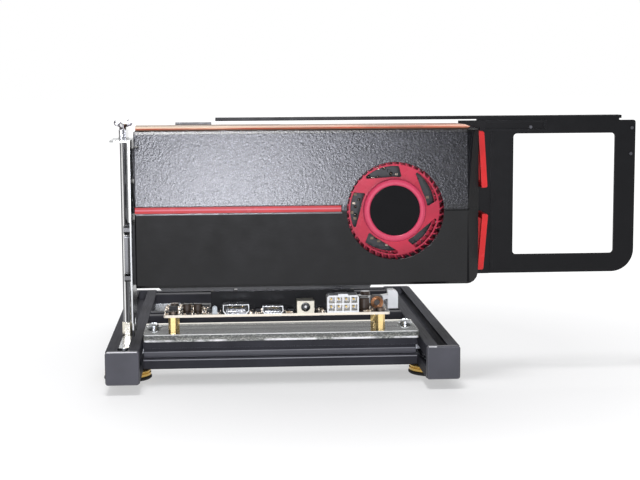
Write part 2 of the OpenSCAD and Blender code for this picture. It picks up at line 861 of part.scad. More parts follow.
module port_small() {
    color("#c2c4c6")
    placed() for (k = [0, 1]) {
        translate([card_x + bracket_t, small_port_y - 4, small_port_zs[k] - 9])
            cube([port_depth - 1, card_y - small_port_y + 4, 18]);
        swept_right(card_x - 1, bracket_t + 1.5) translate([small_port_y, small_port_zs[k]])
            difference() {
                rounded_rect(small_port_sizes[k][0], small_port_sizes[k][1], 0.8);
                rounded_rect(small_port_sizes[k][0] - 0.9, small_port_sizes[k][1] - 0.9, 0.5);
            }
    }
}

// Finned block: thin plates over each other, joined by a base against the card's board
module heat_sink() {
    x0 = card_x + bracket_t + port_depth + 2;
    length = 99;
    low = shroud_low + 7;
    fins = 30;
    pitch = 2.6;
    base_t = 4;
    color("#b9bcc0")
    placed() {
        swept_right(x0, length) {
            translate([card_y - 3.2 - base_t, low]) square([base_t, (fins - 1) * pitch + 0.7]);
            for (k = [0:fins - 1])
                translate([shroud_front + shroud_wall + top_lean + 1.5, low + k * pitch])
                    square([shroud_d - shroud_wall - top_lean - 7.5, 0.7]);
        }
        translate([cooler_mid_x - 22, card_y - 3.4, cooler_mid_z - 22]) cube([44, 2.2, 44]);
        for (x = cooler_xs, z = cooler_zs)
            translate([x, card_y - 3.4, z]) rotate([-90, 0, 0]) difference() {
                cylinder(r = 2.6, h = 3.4);
                translate([0, 0, 0.6]) cylinder(r = cooler_screw_r + 0.05, h = 4);
            }
    }
}

module blower_motor() {
    color("#2b2c30")
    placed() translate([fan_x, 0, fan_z]) {
        swept_back(motor_back - 3, 3) {
            circle(26);
            for (turn = [45:90:315]) rotate(turn) translate([27, 0]) circle(4, $fn = round_fn);
        }
        swept_back(wheel_back - motor_rise, motor_back - wheel_back + motor_rise - 2)
            circle(hub_r - 4);
        swept_back(wheel_front + 3, wheel_depth) circle(shaft_r);
    }
}

// Wheel: a cupped hub, five swept arms between open windows, and a ring of curved blades
module wheel_window() {
    inner = hub_r + 1;
    outer = blade_root_r - 0.3;
    steps = 5;
    offset(r = 0.9, $fn = 16) offset(delta = -0.9) polygon(concat(
        [for (k = [0:steps]) let (a = 77 + 23 * k / steps) [inner * cos(a), inner * sin(a)]],
        [for (k = [0:steps]) let (a = 135 - 51 * k / steps) [outer * cos(a), outer * sin(a)]]));
}

module wheel_blade() {
    arc = 4.4;
    polygon(concat(
        [for (t = [0:0.25:1]) let (r = blade_root_r + 0.1 + (wheel_r - blade_root_r - 0.3) * t,
            a = arc * t * t) [r * cos(a), r * sin(a)]],
        [for (t = [1:-0.25:0]) let (r = blade_root_r + 0.1 + (wheel_r - blade_root_r - 0.3) * t,
            a = arc * t * t + 1.9) [r * cos(a), r * sin(a)]]));
}

module blower_wheel() {
    web_t = 1.2;
    web_y = wheel_front + 4;
    rim = hub_disc_r + 0.15;
    color("#b3122f")
    placed() translate([fan_x, 0, fan_z]) difference() {
        union() {
            translate([0, wheel_front, 0]) rotate([-90, 0, 0]) rotate_extrude()
                polygon([[rim, 0.6], [rim + 0.7, 0], [hub_r - 1.8, 0], [hub_r - 0.6, 0.6],
                    [hub_r, 2], [hub_r, wheel_depth - 2], [hub_r - 1.6, wheel_depth - 2],
                    [hub_r - 1.6, 3], [rim, 3]]);
            swept_back(wheel_front + 1.6, 1.8) circle(hub_r - 1);
            swept_back(wheel_front + 3, wheel_depth - motor_rise - 3.5) circle(shaft_r + 2);
            swept_back(web_y, web_t) difference() {
                circle(blade_root_r + 0.6);
                for (k = [0:4]) rotate(k * 72) wheel_window();
            }
            swept_back(web_y, wheel_back - web_y)
                for (k = [0:blade_count - 1]) rotate(k * 360 / blade_count) wheel_blade();
            swept_back(wheel_back - 1, 1) difference() {
                circle(wheel_r);
                circle(blade_root_r - 0.4);
            }
        }
        swept_back(wheel_front + 2.8, wheel_depth) circle(shaft_r + shaft_clear);
    }
}

module hub_disc() {
    color("#141416")
    placed() translate([fan_x, wheel_front + 0.5, fan_z])
        rotate([-90, 0, 0]) cylinder(r = hub_disc_r, h = 1.1);
}

// Outer form of the shroud, drawn in by the given wall on its front, ends, top and bottom
module shroud_form(wall) {
    front = shroud_front + wall;
    low = shroud_low + wall;
    top = shroud_top - wall;
    left = shroud_x + wall;
    right = shroud_end - wall;
    back = card_y + wall;
    edge = 1.6;
    intersection() {
        swept_right(left, right - left)
            polygon([[back, low], [back, top], [front + top_lean + edge, top],
                [front + top_lean, top - edge], [front, crease_z + 3], [front, crease_z - 1],
                [front + bottom_lean, low + edge], [front + bottom_lean + edge, low]]);
        translate([0, 0, low]) linear_extrude(top - low)
            polygon([[left, back], [left, front + 0.8], [left + 0.8, front],
                [right - end_bevel_l, front], [right + end_swell, front + end_bevel_d],
                [right + end_swell, back]]);
        swept_back(front, back - front)
            polygon([[left, low], [right - corner_cut_l, low], [right - 3, low + 1.3],
                [right - 0.9, low + 3.3], [right, low + corner_cut_h],
                [right + end_swell, crease_z - end_flat], [right + end_swell, crease_z + end_flat],
                [right, top], [left, top]]);
    }
}

module shroud() {
    color("#1d1d20")
    placed() difference() {
        shroud_form(0);
        shroud_form(shroud_wall);
        translate([shroud_x - 1, shroud_front + 3.4, shroud_low + shroud_wall])
            cube([4, shroud_d, shroud_h - 2 * shroud_wall - 4]);
        translate([shroud_x - 1, shroud_front - 1, crease_z - stripe_h / 2 + 1])
            cube([stripe_l + 1.4, 1 + stripe_depth, stripe_h + 0.4]);
        translate([fan_x + intake_r - 2, shroud_front - 1, crease_z - 0.6])
            cube([60, 1.7, 1.2]);
        translate([fan_x, 0, fan_z]) swept_back(0, shroud_front + 8) circle(intake_r);
        for (half_z = [0, 1])
            translate([shroud_end - 4, card_y - 24, half_z ? crease_z + 14 : shroud_low + 11])
                cube([4 + 2 * end_swell, 20, 26]);
    }
}

module stripe() {
    color("#c01526")
    placed() translate([shroud_x + 0.3, shroud_front + 0.3, crease_z - stripe_h / 2 + 1.2])
        cube([stripe_l - 0.2, stripe_depth - 0.3, stripe_h]);
}

// Glossy convex strip along the top of the shroud, pointed at its right end
module top_strip() {
    x0 = shroud_x + 1;
    length = 200;
    low = shroud_top;
    y0 = shroud_front + top_lean + 3;
    color("#e23a1e")
    placed() intersection() {
        swept_right(x0, length)
            polygon([[y0, low], [y0 + 0.3, low + 1.9], [y0 + 2, low + 2.9], [y0 + 8, low + 3.6],
                [y0 + 14, low + 2.9], [y0 + 16, low]]);
        swept_back(y0 - 1, 20)
            polygon([[x0, low], [x0, low + 4], [x0 + length - 11, low + 4],
                [x0 + length - 3, low + 2.9], [x0 + length, low + 1.7],
                [x0 + length - 2, low]]);
    }
}

// Red inlet frames that stand on the end wall of the shroud
module intake_trim(low) {
    height = 34;
    thick = 3.5;
    bevel = 0.8;
    high = low + height;
    trim_y = card_y - 25.5;
    depth = extension_y - 0.3 - trim_y;
    color("#c01526")
    placed() translate([0, trim_y, 0]) difference() {
        swept_back(0, depth)
            polygon([[end_at(low), low], [end_at(low) + thick - bevel, low],
                [end_at(low) + thick, low + bevel], [end_at(high) + thick, high - bevel],
                [end_at(high) + thick - bevel, high], [end_at(high), high]]);
        translate([shroud_end - 1, 3, low + 3]) cube([9, depth - 6, height - 6]);
    }
}

module intake_trim_upper() {
    intake_trim(crease_z + 12);
}

module intake_trim_lower() {
    intake_trim(shroud_low + 7.4);
}

// Extension: a bent sheet frame with a window, carried by the card's board
module extension_plate() {
    arm_x = card_x + 51;
    arm_end = extension_end - 9;
    arm_low = extension_top + 1.1;
    flange = 9;
    corner = 14;
    tip_r = 1.5;
    fold_x = extension_x + 10;
    bar_x = shroud_end - 9;
    bar_end = extension_x + 44.5;
    bar_low = extension_top - 6.3;
    bar_high = extension_top + 0.4;
    step_x = extension_x + 2.8;
    step_z = shroud_top + 0.5;
    color("#141416")
    placed() {
        swept_back(extension_y, extension_t) difference() {
            union() {
                translate([extension_x, extension_low + corner])
                    square([extension_w, extension_h - corner - tip_r]);
                translate([extension_x, extension_top - 2 * tip_r])
                    square([extension_w - tip_r, 2 * tip_r]);
                translate([extension_end - tip_r, extension_top - tip_r])
                    circle(tip_r, $fn = round_fn);
                translate([extension_x, extension_low]) square([extension_w - corner, corner + 1]);
                translate([extension_end - corner, extension_low + corner]) circle(corner);
                translate([extension_x + 1, extension_top - 6])
                    square([arm_end - 2.4 - extension_x, arm_low + 7 - extension_top]);
            }
            translate([(window_x + window_end) / 2, (window_low + window_high) / 2])
                rounded_rect(window_end - window_x, window_high - window_low, 2.2);
        }
        swept_back(extension_y, flange)
            translate([arm_x, arm_low]) square([arm_end - arm_x, 2]);
        translate([extension_end - extension_t, extension_y, extension_low + corner])
            cube([extension_t, flange, extension_h - corner - 3]);
        translate([fold_x, extension_y - 0.9, extension_low + 1])
            cube([1.4, 1.2, extension_h - 8]);
        swept_back(extension_y - bar_t, bar_t) difference() {
            polygon([[bar_x, step_z], [step_x, step_z], [step_x, bar_low], [bar_end, bar_low],
                [bar_end, bar_high], [bar_x, bar_high]]);
            translate([step_x + 3, bar_low + 1.2])
                square([bar_end - step_x - 4.4, bar_high - bar_low - 2.4]);
        }
        swept_back(extension_y - bar_floor, bar_floor)
            translate([step_x + 1, bar_low + 0.5])
                square([bar_end - step_x - 1.6, bar_high - bar_low - 1.1]);
        for (z = [extension_low + 14, extension_top - 16])
            translate([extension_x + 1.2, extension_y, z]) cube([6, 3.4, 8]);
    }
}

module extension_screws() {
    points = [[extension_x + 34.7, extension_y - bar_floor, extension_top - 4],
        [extension_end - 2.4, extension_y, extension_top - 5],
        [extension_end - 2.8, extension_y, extension_top - 21]];
    color("#3b3c40")
    placed() {
        for (p = points) translate(p) rotate([90, 0, 0]) cylinder(r = 1, h = 0.7);
        for (z = [extension_low + 18, extension_top - 12])
            translate([extension_x + 4.2, card_y + card_t, z]) rotate([-90, 0, 0])
                cylinder(r = 2.4, h = 1.4);
    }
}

// Crossed spring sheet on the back of the card, with its four screws
module spring_plate() {
    y = card_y + card_t;
    rise = cooler_zs[1] - cooler_zs[0];
    run = cooler_xs[1] - cooler_xs[0];
    spring_turn = atan(rise / run);
    spring_w = 9;
    spring_l = sqrt(rise * rise + run * run) + spring_w;
    color("#9fa2a6")
    placed() {
        translate([cooler_mid_x, 0, cooler_mid_z]) swept_back(y + 2, 1) {
            for (turn = [spring_turn, -spring_turn]) rotate(turn)
                rounded_rect(spring_l, spring_w, 4);
            rounded_rect(3 * spring_w, 3 * spring_w, 4);
        }
        for (x = cooler_xs, z = cooler_zs)
            translate([x, y, z]) rotate([-90, 0, 0]) {
                translate([0, 0, -card_t - 2.2]) cylinder(r = cooler_screw_r, h = card_t + 3);
                cylinder(r = 2.4, h = 2.5);
                translate([0, 0, 2.5]) cylinder(r = 3, h = 2);
            }
    }
}

side_rail(half);  // side_rail_left
side_rail(right_rail_x);  // side_rail_right
cross_rail(front_rail_y);  // front_rail
cross_rail(middle_rail_y);  // middle_rail
cross_rail(rear_rail_y);  // rear_rail
end_cap(half, false);  // cap_front_left
end_cap(right_rail_x, false);  // cap_front_right
end_cap(half, true);  // cap_rear_left
end_cap(right_rail_x, true);  // cap_rear_right
foot(foot_xs[0], foot_ys[0]);  // foot_front_left
foot(foot_xs[1], foot_ys[0]);  // foot_front_right
foot(foot_xs[0], foot_ys[1]);  // foot_rear_left
foot(foot_xs[1], foot_ys[1]);  // foot_rear_right
foot_ring(foot_xs[0], foot_ys[0]);  // ring_front_left
foot_ring(foot_xs[1], foot_ys[0]);  // ring_front_right
foot_ring(foot_xs[0], foot_ys[1]);  // ring_rear_left
foot_ring(foot_xs[1], foot_ys[1]);  // ring_rear_right
foot_screws();
foot_nuts();
corner_connectors();
connector_screws();
clear_plate();
plate_screws();
plate_nuts();
board_standoffs();
board_screws();
adapter_board();
expansion_slot();
slot_latch();
link_socket();
mini_socket();
dc_socket();
power_header();
board_capacitors();
board_coils();
board_chips();
status_lamp();
post_nut();
post_base();
post_rod();
post_washer();
post_spacer();
wing_screw();
card_bracket();
card_board();
port_stack();
port_small();
heat_sink();
blower_motor();
blower_wheel();
hub_disc();
shroud();
stripe();
top_strip();
intake_trim_upper();
intake_trim_lower();
extension_plate();
extension_screws();
spring_plate();
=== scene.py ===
"""Looks of the external graphics card base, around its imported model."""
import math
import random

import bmesh
import bpy
from mathutils import Matrix, Vector
from mathutils.bvhtree import BVHTree


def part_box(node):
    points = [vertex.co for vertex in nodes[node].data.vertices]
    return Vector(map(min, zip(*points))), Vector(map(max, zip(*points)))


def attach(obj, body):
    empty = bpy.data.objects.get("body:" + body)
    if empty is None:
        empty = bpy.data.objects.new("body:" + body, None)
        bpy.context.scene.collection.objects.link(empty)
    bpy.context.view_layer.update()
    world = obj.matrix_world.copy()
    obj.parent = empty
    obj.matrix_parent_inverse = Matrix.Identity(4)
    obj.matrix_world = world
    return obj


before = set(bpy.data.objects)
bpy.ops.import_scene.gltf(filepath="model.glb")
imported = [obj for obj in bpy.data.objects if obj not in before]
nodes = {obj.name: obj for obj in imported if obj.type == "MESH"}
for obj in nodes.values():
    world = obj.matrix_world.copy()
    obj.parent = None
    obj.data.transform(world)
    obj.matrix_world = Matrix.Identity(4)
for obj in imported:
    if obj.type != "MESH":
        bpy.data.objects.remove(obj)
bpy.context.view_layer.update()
MM = 0.001
X, Y, Z = 0, 1, 2

# The part is laid out in millimetres from its left front corner; the shared frame is centred
LAYOUT_ORIGIN = (161.25, 120.0, 0.0)


def at(x, y, z):
    """A point of the layout, in millimetres, as a point of the shared frame, in metres."""
    return Vector(((x - LAYOUT_ORIGIN[0]) * MM, (y - LAYOUT_ORIGIN[1]) * MM, z * MM))


def span(node):
    """Lowest and highest corner of a node in the layout, in millimetres."""
    low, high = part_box(node)
    offset = Vector(LAYOUT_ORIGIN)
    return low / MM + offset, high / MM + offset


# Camera, set where the photograph was taken from

CAMERA_AT = (71.47, -830.89, 190.04)
YAW, PITCH, ROLL = -0.0663, -0.1189, -0.0056
FOCAL_PX = 1433.7
FRAME_PX = 640
SENSOR_MM = 36.0

forward = Vector((-math.sin(YAW) * math.cos(PITCH), math.cos(YAW) * math.cos(PITCH), math.sin(PITCH)))
level_right = Vector((math.cos(YAW), math.sin(YAW), 0))
level_up = level_right.cross(forward)
right = level_right * math.cos(ROLL) + level_up * math.sin(ROLL)
up = level_up * math.cos(ROLL) - level_right * math.sin(ROLL)
camera_data = bpy.data.cameras.new("camera")
camera_data.sensor_width = SENSOR_MM
camera_data.lens = SENSOR_MM * FOCAL_PX / FRAME_PX
camera_data.clip_start = 0.01
camera_data.clip_end = 50
camera = bpy.data.objects.new("camera", camera_data)
bpy.context.scene.collection.objects.link(camera)
rotation = Matrix((right, up, -forward)).transposed().to_4x4()
camera.matrix_world = Matrix.Translation(at(*CAMERA_AT)) @ rotation
bpy.context.scene.camera = camera


# Materials

# Most of a noise lies between these two values
NOISE_LOW, NOISE_HIGH = 0.3, 0.7
# An edge shows where the rounded normal leaves the flat one: the cosines where its wear and
# painted highlight start and where they are full
EDGE_STARTS, EDGE_FULL = 0.98, 0.8


class Look:
    """A node graph around one principled shader."""

    def __init__(self, name, colour, rough, metal=0.0, **inputs):
        self.material = bpy.data.materials.new(name)
        self.material.use_nodes = True
        self.tree = self.material.node_tree
        self.tree.nodes.clear()
        self.out = self.add("ShaderNodeOutputMaterial")
        self.shader = self.add("ShaderNodeBsdfPrincipled")
        self.link(self.shader.outputs["BSDF"], self.out.inputs["Surface"])
        self.place = self.add("ShaderNodeTexCoord").outputs["Object"]
        self.colour = (*colour, 1.0)
        self.rough = rough
        self.normal = None
        self.shader.inputs["Base Color"].default_value = self.colour
        self.shader.inputs["Roughness"].default_value = rough
        self.shader.inputs["Metallic"].default_value = metal
        for key, value in inputs.items():
            self.shader.inputs[key.replace("_", " ")].default_value = value

    def add(self, kind, **settings):
        node = self.tree.nodes.new(kind)
        for key, value in settings.items():
            setattr(node, key, value)
        return node

    def link(self, a, b):
        self.tree.links.new(a, b)

    def math(self, operation, a, b=None):
        node = self.add("ShaderNodeMath", operation=operation)
        for socket, value in zip(node.inputs, (a, b)):
            if value is None:
                continue
            if isinstance(value, (int, float)):
                socket.default_value = value
            else:
                self.link(value, socket)
        return node.outputs[0]

    def vector(self, operation, a, b=None):
        node = self.add("ShaderNodeVectorMath", operation=operation)
        self.link(a, node.inputs[0])
        if b is not None:
            node.inputs[1].default_value = b
        return node.outputs[0]

    def noise(self, scale, detail=4.0, stretch=(1, 1, 1), rough=0.55):
        """Noise of about the given number of spots a metre, drawn out along the small stretches."""
        node = self.add("ShaderNodeTexNoise")
        node.inputs["Scale"].default_value = scale
        node.inputs["Detail"].default_value = detail
        node.inputs["Roughness"].default_value = rough
        mapped = self.vector("MULTIPLY", self.place, stretch)
        self.link(mapped, node.inputs["Vector"])
        return node.outputs["Fac"]

    def ramp(self, value, low, high, out_low=0.0, out_high=1.0):
        node = self.add("ShaderNodeMapRange")
        node.inputs["From Min"].default_value = low
        node.inputs["From Max"].default_value = high
        node.inputs["To Min"].default_value = out_low
        node.inputs["To Max"].default_value = out_high
        self.link(value, node.inputs["Value"])
        return node.outputs["Result"]

    def mix(self, factor, a, b):
        node = self.add("ShaderNodeMix", data_type="RGBA")
        self.link(factor, node.inputs["Factor"])
        for socket, value in ((node.inputs[6], a), (node.inputs[7], b)):
            if isinstance(value, tuple):
                socket.default_value = value if len(value) == 4 else (*value, 1.0)
            else:
                self.link(value, socket)
        return node.outputs[2]

    def inside(self, low, high):
        """1 inside the box between two layout points, 0 outside it."""
        a, b = at(*low), at(*high)
        moved = self.vector("ABSOLUTE", self.vector("SUBTRACT", self.place, (a + b) / 2))
        parts = self.add("ShaderNodeSeparateXYZ")
        self.link(self.vector("SUBTRACT", moved, (b - a) / 2), parts.inputs[0])
        most = self.math("MAXIMUM", parts.outputs[0], parts.outputs[1])
        return self.math("LESS_THAN", self.math("MAXIMUM", most, parts.outputs[2]), 0.0)

    def zone(self, node, x=None, y=None, z=None):
        """1 on a part of a node; along an axis without limits it takes the whole node."""
        low, high = span(node)
        limits = [given or (low[k] - 1, high[k] + 1) for k, given in enumerate((x, y, z))]
        return self.inside([pair[0] for pair in limits], [pair[1] for pair in limits])

    def along(self, axis):
        """Place along one axis of the shared frame, in metres."""
        parts = self.add("ShaderNodeSeparateXYZ")
        self.link(self.place, parts.inputs[0])
        return parts.outputs[axis]

    def facing(self, axis):
        """How far a face looks along an axis of the shared frame, from -1 to 1."""
        parts = self.add("ShaderNodeSeparateXYZ")
        self.link(self.add("ShaderNodeNewGeometry").outputs["True Normal"], parts.inputs[0])
        return parts.outputs[axis]

    def distance(self, centre, axes=(1, 1, 1)):
        """Distance from a point, measured along the given axes only."""
        node = self.add("ShaderNodeVectorMath", operation="LENGTH")
        away = self.vector("SUBTRACT", self.place, centre)
        self.link(self.vector("MULTIPLY", away, axes), node.inputs[0])
        return node.outputs["Value"]

    def tint(self, factor, colour):
        """Lays another colour, or the output of a node, over the present one."""
        socket = self.shader.inputs["Base Color"]
        before = socket.links[0].from_socket if socket.links else self.colour
        self.link(self.mix(factor, before, colour), socket)

    def vary(self, fac, amount):
        """Makes the colour a little darker and lighter from spot to spot."""
        dark = tuple(c * (1 - amount) for c in self.colour[:3])
        light = tuple(min(1.0, c * (1 + amount)) for c in self.colour[:3])
        mixed = self.mix(self.ramp(fac, NOISE_LOW, NOISE_HIGH), dark, light)
        self.link(mixed, self.shader.inputs["Base Color"])

    def gloss(self, fac, low, high):
        self.link(self.ramp(fac, NOISE_LOW, NOISE_HIGH, low, high), self.shader.inputs["Roughness"])

    def gloss_where(self, factor, rough):
        """Another roughness where the factor is 1."""
        socket = self.shader.inputs["Roughness"]
        node = self.add("ShaderNodeMix", data_type="FLOAT")
        self.link(factor, node.inputs["Factor"])
        if socket.links:
            self.link(socket.links[0].from_socket, node.inputs[2])
        else:
            node.inputs[2].default_value = self.rough
        node.inputs[3].default_value = rough
        self.link(node.outputs[0], socket)

    def metal_where(self, factor):
        self.link(factor, self.shader.inputs["Metallic"])

    def round_edges(self, radius=0.3, wear_and_highlight=None, strength=0.6):
        """Rounds sharp edges in the shading, and lightens them with a given colour, as rubbed wear and
        painted highlight.
        """
        node = self.add("ShaderNodeBevel", samples=4)
        node.inputs["Radius"].default_value = radius * MM
        self.normal = node.outputs[0]
        self.link(self.normal, self.shader.inputs["Normal"])
        if wear_and_highlight is None:
            return
        flat = self.add("ShaderNodeNewGeometry").outputs["True Normal"]
        dot = self.add("ShaderNodeVectorMath", operation="DOT_PRODUCT")
        self.link(self.normal, dot.inputs[0])
        self.link(flat, dot.inputs[1])
        edge = self.ramp(dot.outputs["Value"], EDGE_STARTS, EDGE_FULL)
        spots = self.ramp(self.noise(420, 3), 0.35, 0.6, 0.35, 1.0)
        self.tint(self.math("MULTIPLY", self.math("MULTIPLY", edge, spots), strength), wear_and_highlight)

    def bump(self, height, strength, distance):
        node = self.add("ShaderNodeBump")
        node.inputs["Strength"].default_value = strength
        node.inputs["Distance"].default_value = distance * MM
        self.link(height, node.inputs["Height"])
        if self.normal is not None:
            self.link(self.normal, node.inputs["Normal"])
        self.normal = node.outputs[0]
        self.link(self.normal, self.shader.inputs["Normal"])

    def side_faces(self):
        """1 on faces that stand upright in z, 0 on level ones."""
        return self.math("LESS_THAN", self.math("ABSOLUTE", self.facing(Z)), 0.5)

    def edge_faces(self):
        """1 on the faces of an upright board that don't look to its front or back."""
        return self.math("LESS_THAN", self.math("ABSOLUTE", self.facing(Y)), 0.5)


def plastic(name, colour, rough, grain=900, depth=0.03, edge=0.35, wear_and_highlight=None, **inputs):
    """Moulded plastic with a fine grain and a faint change of gloss."""
    look = Look(name, colour, rough, **inputs)
    look.vary(look.noise(60, 3), 0.12)
    look.gloss(look.noise(140, 4), rough * 0.88, min(1.0, rough * 1.12))
    look.round_edges(edge, wear_and_highlight)
    look.bump(look.noise(grain, 5), 0.45, depth)
    return look


def metal(name, colour, rough, stretch=(1, 1, 1), lines=2200, depth=0.01, edge=0.2, **inputs):
    """Bare or plated metal; the stretch draws the noise out into fine lines."""
    look = Look(name, colour, rough, 1.0, **inputs)
    look.vary(look.noise(90, 3), 0.08)
    look.gloss(look.noise(260, 4, stretch), rough * 0.75, rough * 1.3)
    look.round_edges(edge)
    look.bump(look.noise(lines, 3, stretch), 0.5, depth)
    return look


# Stretches that draw a noise out into lines along an axis
ALONG_X, ALONG_Y, ALONG_Z = (0.02, 1, 1), (1, 0.02, 1), (1, 1, 0.02)


def rail_look(name, stretch, specular):
    """Black anodised aluminium with fine drawn lines, and edges made paler as rubbed wear and painted
    highlight.
    """
    look = Look(name, (0.03, 0.03, 0.037), 0.48, Specular_IOR_Level=specular)
    look.vary(look.noise(50, 3), 0.2)
    look.gloss(look.noise(1500, 3, stretch), 0.42, 0.55)
    look.round_edges(0.3, (0.2, 0.2, 0.23), 0.9)
    look.bump(look.noise(1900, 3, stretch), 0.5, 0.012)
    return look


rails_back = rail_look("anodised_along_y", ALONG_Y, 0.03)
rails_across = rail_look("anodised_along_x", ALONG_X, 0.13)

# The front rail's slot: painted highlights, a paler line on its core and bright lines on its lip
# edges, at these heights from the middle of the rail
CORE_HIGHLIGHT = (-3.6, -0.2)
LIP_HIGHLIGHTS = ((-0.7, -0.1), (-4.6, -4.0))
CORE_DEPTH, SLOT_DEPTH = 3, 7
rail_low, rail_high = span("front_rail")
rail_mid = (rail_low.z + rail_high.z) / 2
core_highlight = rails_across.zone("front_rail", y=(rail_low.y + CORE_DEPTH, rail_low.y + SLOT_DEPTH),
                         z=(rail_mid + CORE_HIGHLIGHT[0], rail_mid + CORE_HIGHLIGHT[1]))
rails_across.tint(core_highlight, (0.15, 0.15, 0.165))
for foot, crest in LIP_HIGHLIGHTS:
    lip_highlight = rails_across.zone("front_rail", y=(rail_low.y - 1, rail_low.y + SLOT_DEPTH),
                            z=(rail_mid + foot, rail_mid + crest))
    rails_across.tint(lip_highlight, (0.3, 0.3, 0.32))

# Each cap has a painted highlight, a bright line along its top outer edge, short on the right side;
# its rounded edges are lightened as painted highlight too
CAPS = ["cap_front_left", "cap_front_right", "cap_rear_left", "cap_rear_right"]
HIGHLIGHT_INSET, HIGHLIGHT_DEPTH, SHORT_HIGHLIGHT = 1.2, 0.7, 6
cap = plastic("cap_plastic", (0.06, 0.06, 0.072), 0.45, 1100, 0.03, 0.5, (0.36, 0.36, 0.38),
              Specular_IOR_Level=0.35)
for name in CAPS:
    low, high = span(name)
    outer = low.y if "front" in name else high.y
    highlight_end = high.x - HIGHLIGHT_INSET if "left" in name else low.x + SHORT_HIGHLIGHT
    painted_line = cap.zone(name, x=(low.x + HIGHLIGHT_INSET, highlight_end),
                    y=(outer - HIGHLIGHT_DEPTH, outer + HIGHLIGHT_DEPTH), z=(high.z - 0.5, high.z + 1))
    cap.tint(painted_line, (0.6, 0.6, 0.62))

gold = metal("gold_anodised", (0.83, 0.56, 0.17), 0.24, (1, 1, 40), 60, 0.02)
rubber = plastic("foot_rubber", (0.012, 0.012, 0.012), 0.75, 1400, 0.05)
zinc = metal("zinc_plate", (0.76, 0.78, 0.8), 0.26)
dark_steel = metal("dark_steel", (0.09, 0.09, 0.1), 0.4)
brass = metal("turned_brass", (0.8, 0.6, 0.27), 0.26, (1, 1, 30), 90)
pale_brass = metal("pale_brass", (0.72, 0.68, 0.58), 0.26, (1, 1, 30), 90)
black_screw = metal("black_screw", (0.16, 0.13, 0.11), 0.35)
chrome = metal("chrome", (0.86, 0.87, 0.88), 0.1, ALONG_Z, 1500, 0.004)
# Dark patches laid on the chrome are painted reflections
chrome.tint(chrome.ramp(chrome.noise(420, 2), 0.54, 0.46), (0.1, 0.09, 0.1))

# The rod and the hexagon above it are drawn steel with painted reflections, dark lines down their
# length: where each starts and ends, from the rod's axis, and how grey it is
REFLECTION_LINES = ((-2.6, -1.5, 0.13), (-0.6, 0.5, 0.05), (0.5, 1.7, 0.2))
rod_low, rod_high = span("post_rod")
rod_x = (rod_low.x + rod_high.x) / 2
drawn = metal("drawn_steel", (0.74, 0.74, 0.74), 0.16, ALONG_Z, 1500, 0.004)
for start, stop, grey in REFLECTION_LINES:
    painted_line = drawn.zone("post_rod", x=(rod_x + start, rod_x + stop),
                      y=(rod_low.y - 2, rod_high.y + 2), z=(rod_low.z - 10, rod_high.z + 20))
    drawn.tint(painted_line, (grey, grey, grey * 1.03))

# The bracket is dark on its inner face, which lies a little outside the end of the card's board
BRACKET_GAP, FACE_REACH = 1.6, 0.15
bracket_steel = metal("bracket_steel", (0.6, 0.61, 0.62), 0.22, ALONG_Z, 1700, 0.01)
bracket_low, bracket_high = span("card_bracket")
inner_face = span("card_board")[0].x - BRACKET_GAP
shaded = bracket_steel.zone("card_bracket", x=(inner_face - FACE_REACH, inner_face + FACE_REACH),
                            z=(bracket_low.z, bracket_high.z - 1.5))
bracket_steel.tint(shaded, (0.03, 0.03, 0.032))
spring_steel = metal("spring_steel", (0.5, 0.51, 0.52), 0.32, ALONG_X)

# Port shells are plated outside the bracket, with two painted reflections as dark bands, and their
# bodies behind it are black: where each band starts and ends, from the shells' outer end, and how grey
# it is
PORT_REFLECTION_BANDS = ((0, 1.5, 0.16), (2.6, 3.9, 0.04))
port_look = metal("port_shell", (0.15, 0.15, 0.155), 0.24, ALONG_Z)
port_low, port_high = span("port_stack")
port_body = port_look.zone("port_stack", x=(inner_face + 0.05, port_high.x + 2),
                           y=(bracket_low.y - 2, bracket_high.y + 2),
                           z=(port_low.z - 30, bracket_high.z))
port_look.tint(port_body, (0.012, 0.012, 0.013))
port_look.metal_where(port_look.math("SUBTRACT", 1.0, port_look.math("MULTIPLY", port_body, 0.4)))
for start, stop, grey in PORT_REFLECTION_BANDS:
    reflection_band = port_look.zone("port_stack", x=(port_low.x + start, port_low.x + stop),
                          y=(port_low.y - 1, port_low.y + 3.5))
    port_look.tint(reflection_band, (grey, grey, grey * 1.03))

# Socket shells are bright outside and dark inside, back to their rear wall: the black tongue, and
# painted shade on the shell's inner walls
SHELL_WALL = 0.5
socket_look = metal("socket_shell", (0.72, 0.73, 0.74), 0.24, ALONG_Z)
rooms = []
for name in ("link_socket", "mini_socket"):
    low, high = span(name)
    rooms.append(socket_look.zone(name, x=(low.x + SHELL_WALL, high.x - SHELL_WALL),
                                  y=(low.y + SHELL_WALL, high.y),
                                  z=(low.z + SHELL_WALL, high.z - SHELL_WALL)))
tongue_and_shade = socket_look.math("MAXIMUM", *rooms)
socket_look.tint(tongue_and_shade, (0.012, 0.012, 0.013))
socket_look.metal_where(socket_look.math("SUBTRACT", 1.0, tongue_and_shade))

sink = metal("fin_aluminium", (0.68, 0.69, 0.71), 0.33, ALONG_X)
copper = metal("copper_wire", (0.4, 0.2, 0.1), 0.3)
gilt = metal("gilt_contacts", (0.9, 0.66, 0.26), 0.22)
solder = metal("solder", (0.52, 0.45, 0.36), 0.22)

# The expansion slot is black, with a light caught along its top front edge
black_nylon = plastic("black_nylon", (0.008, 0.008, 0.009), 0.4, 1300, 0.03, 0.3, (0.06, 0.06, 0.06),
                      Specular_IOR_Level=0.12)
slot_low, slot_high = span("expansion_slot")
top_line = black_nylon.zone("expansion_slot", x=(slot_low.x, slot_high.x),
                            y=(slot_low.y - 1, slot_low.y + 0.5),
                            z=(slot_high.z - 0.45, slot_high.z + 1))
black_nylon.tint(top_line, (0.85, 0.85, 0.87))

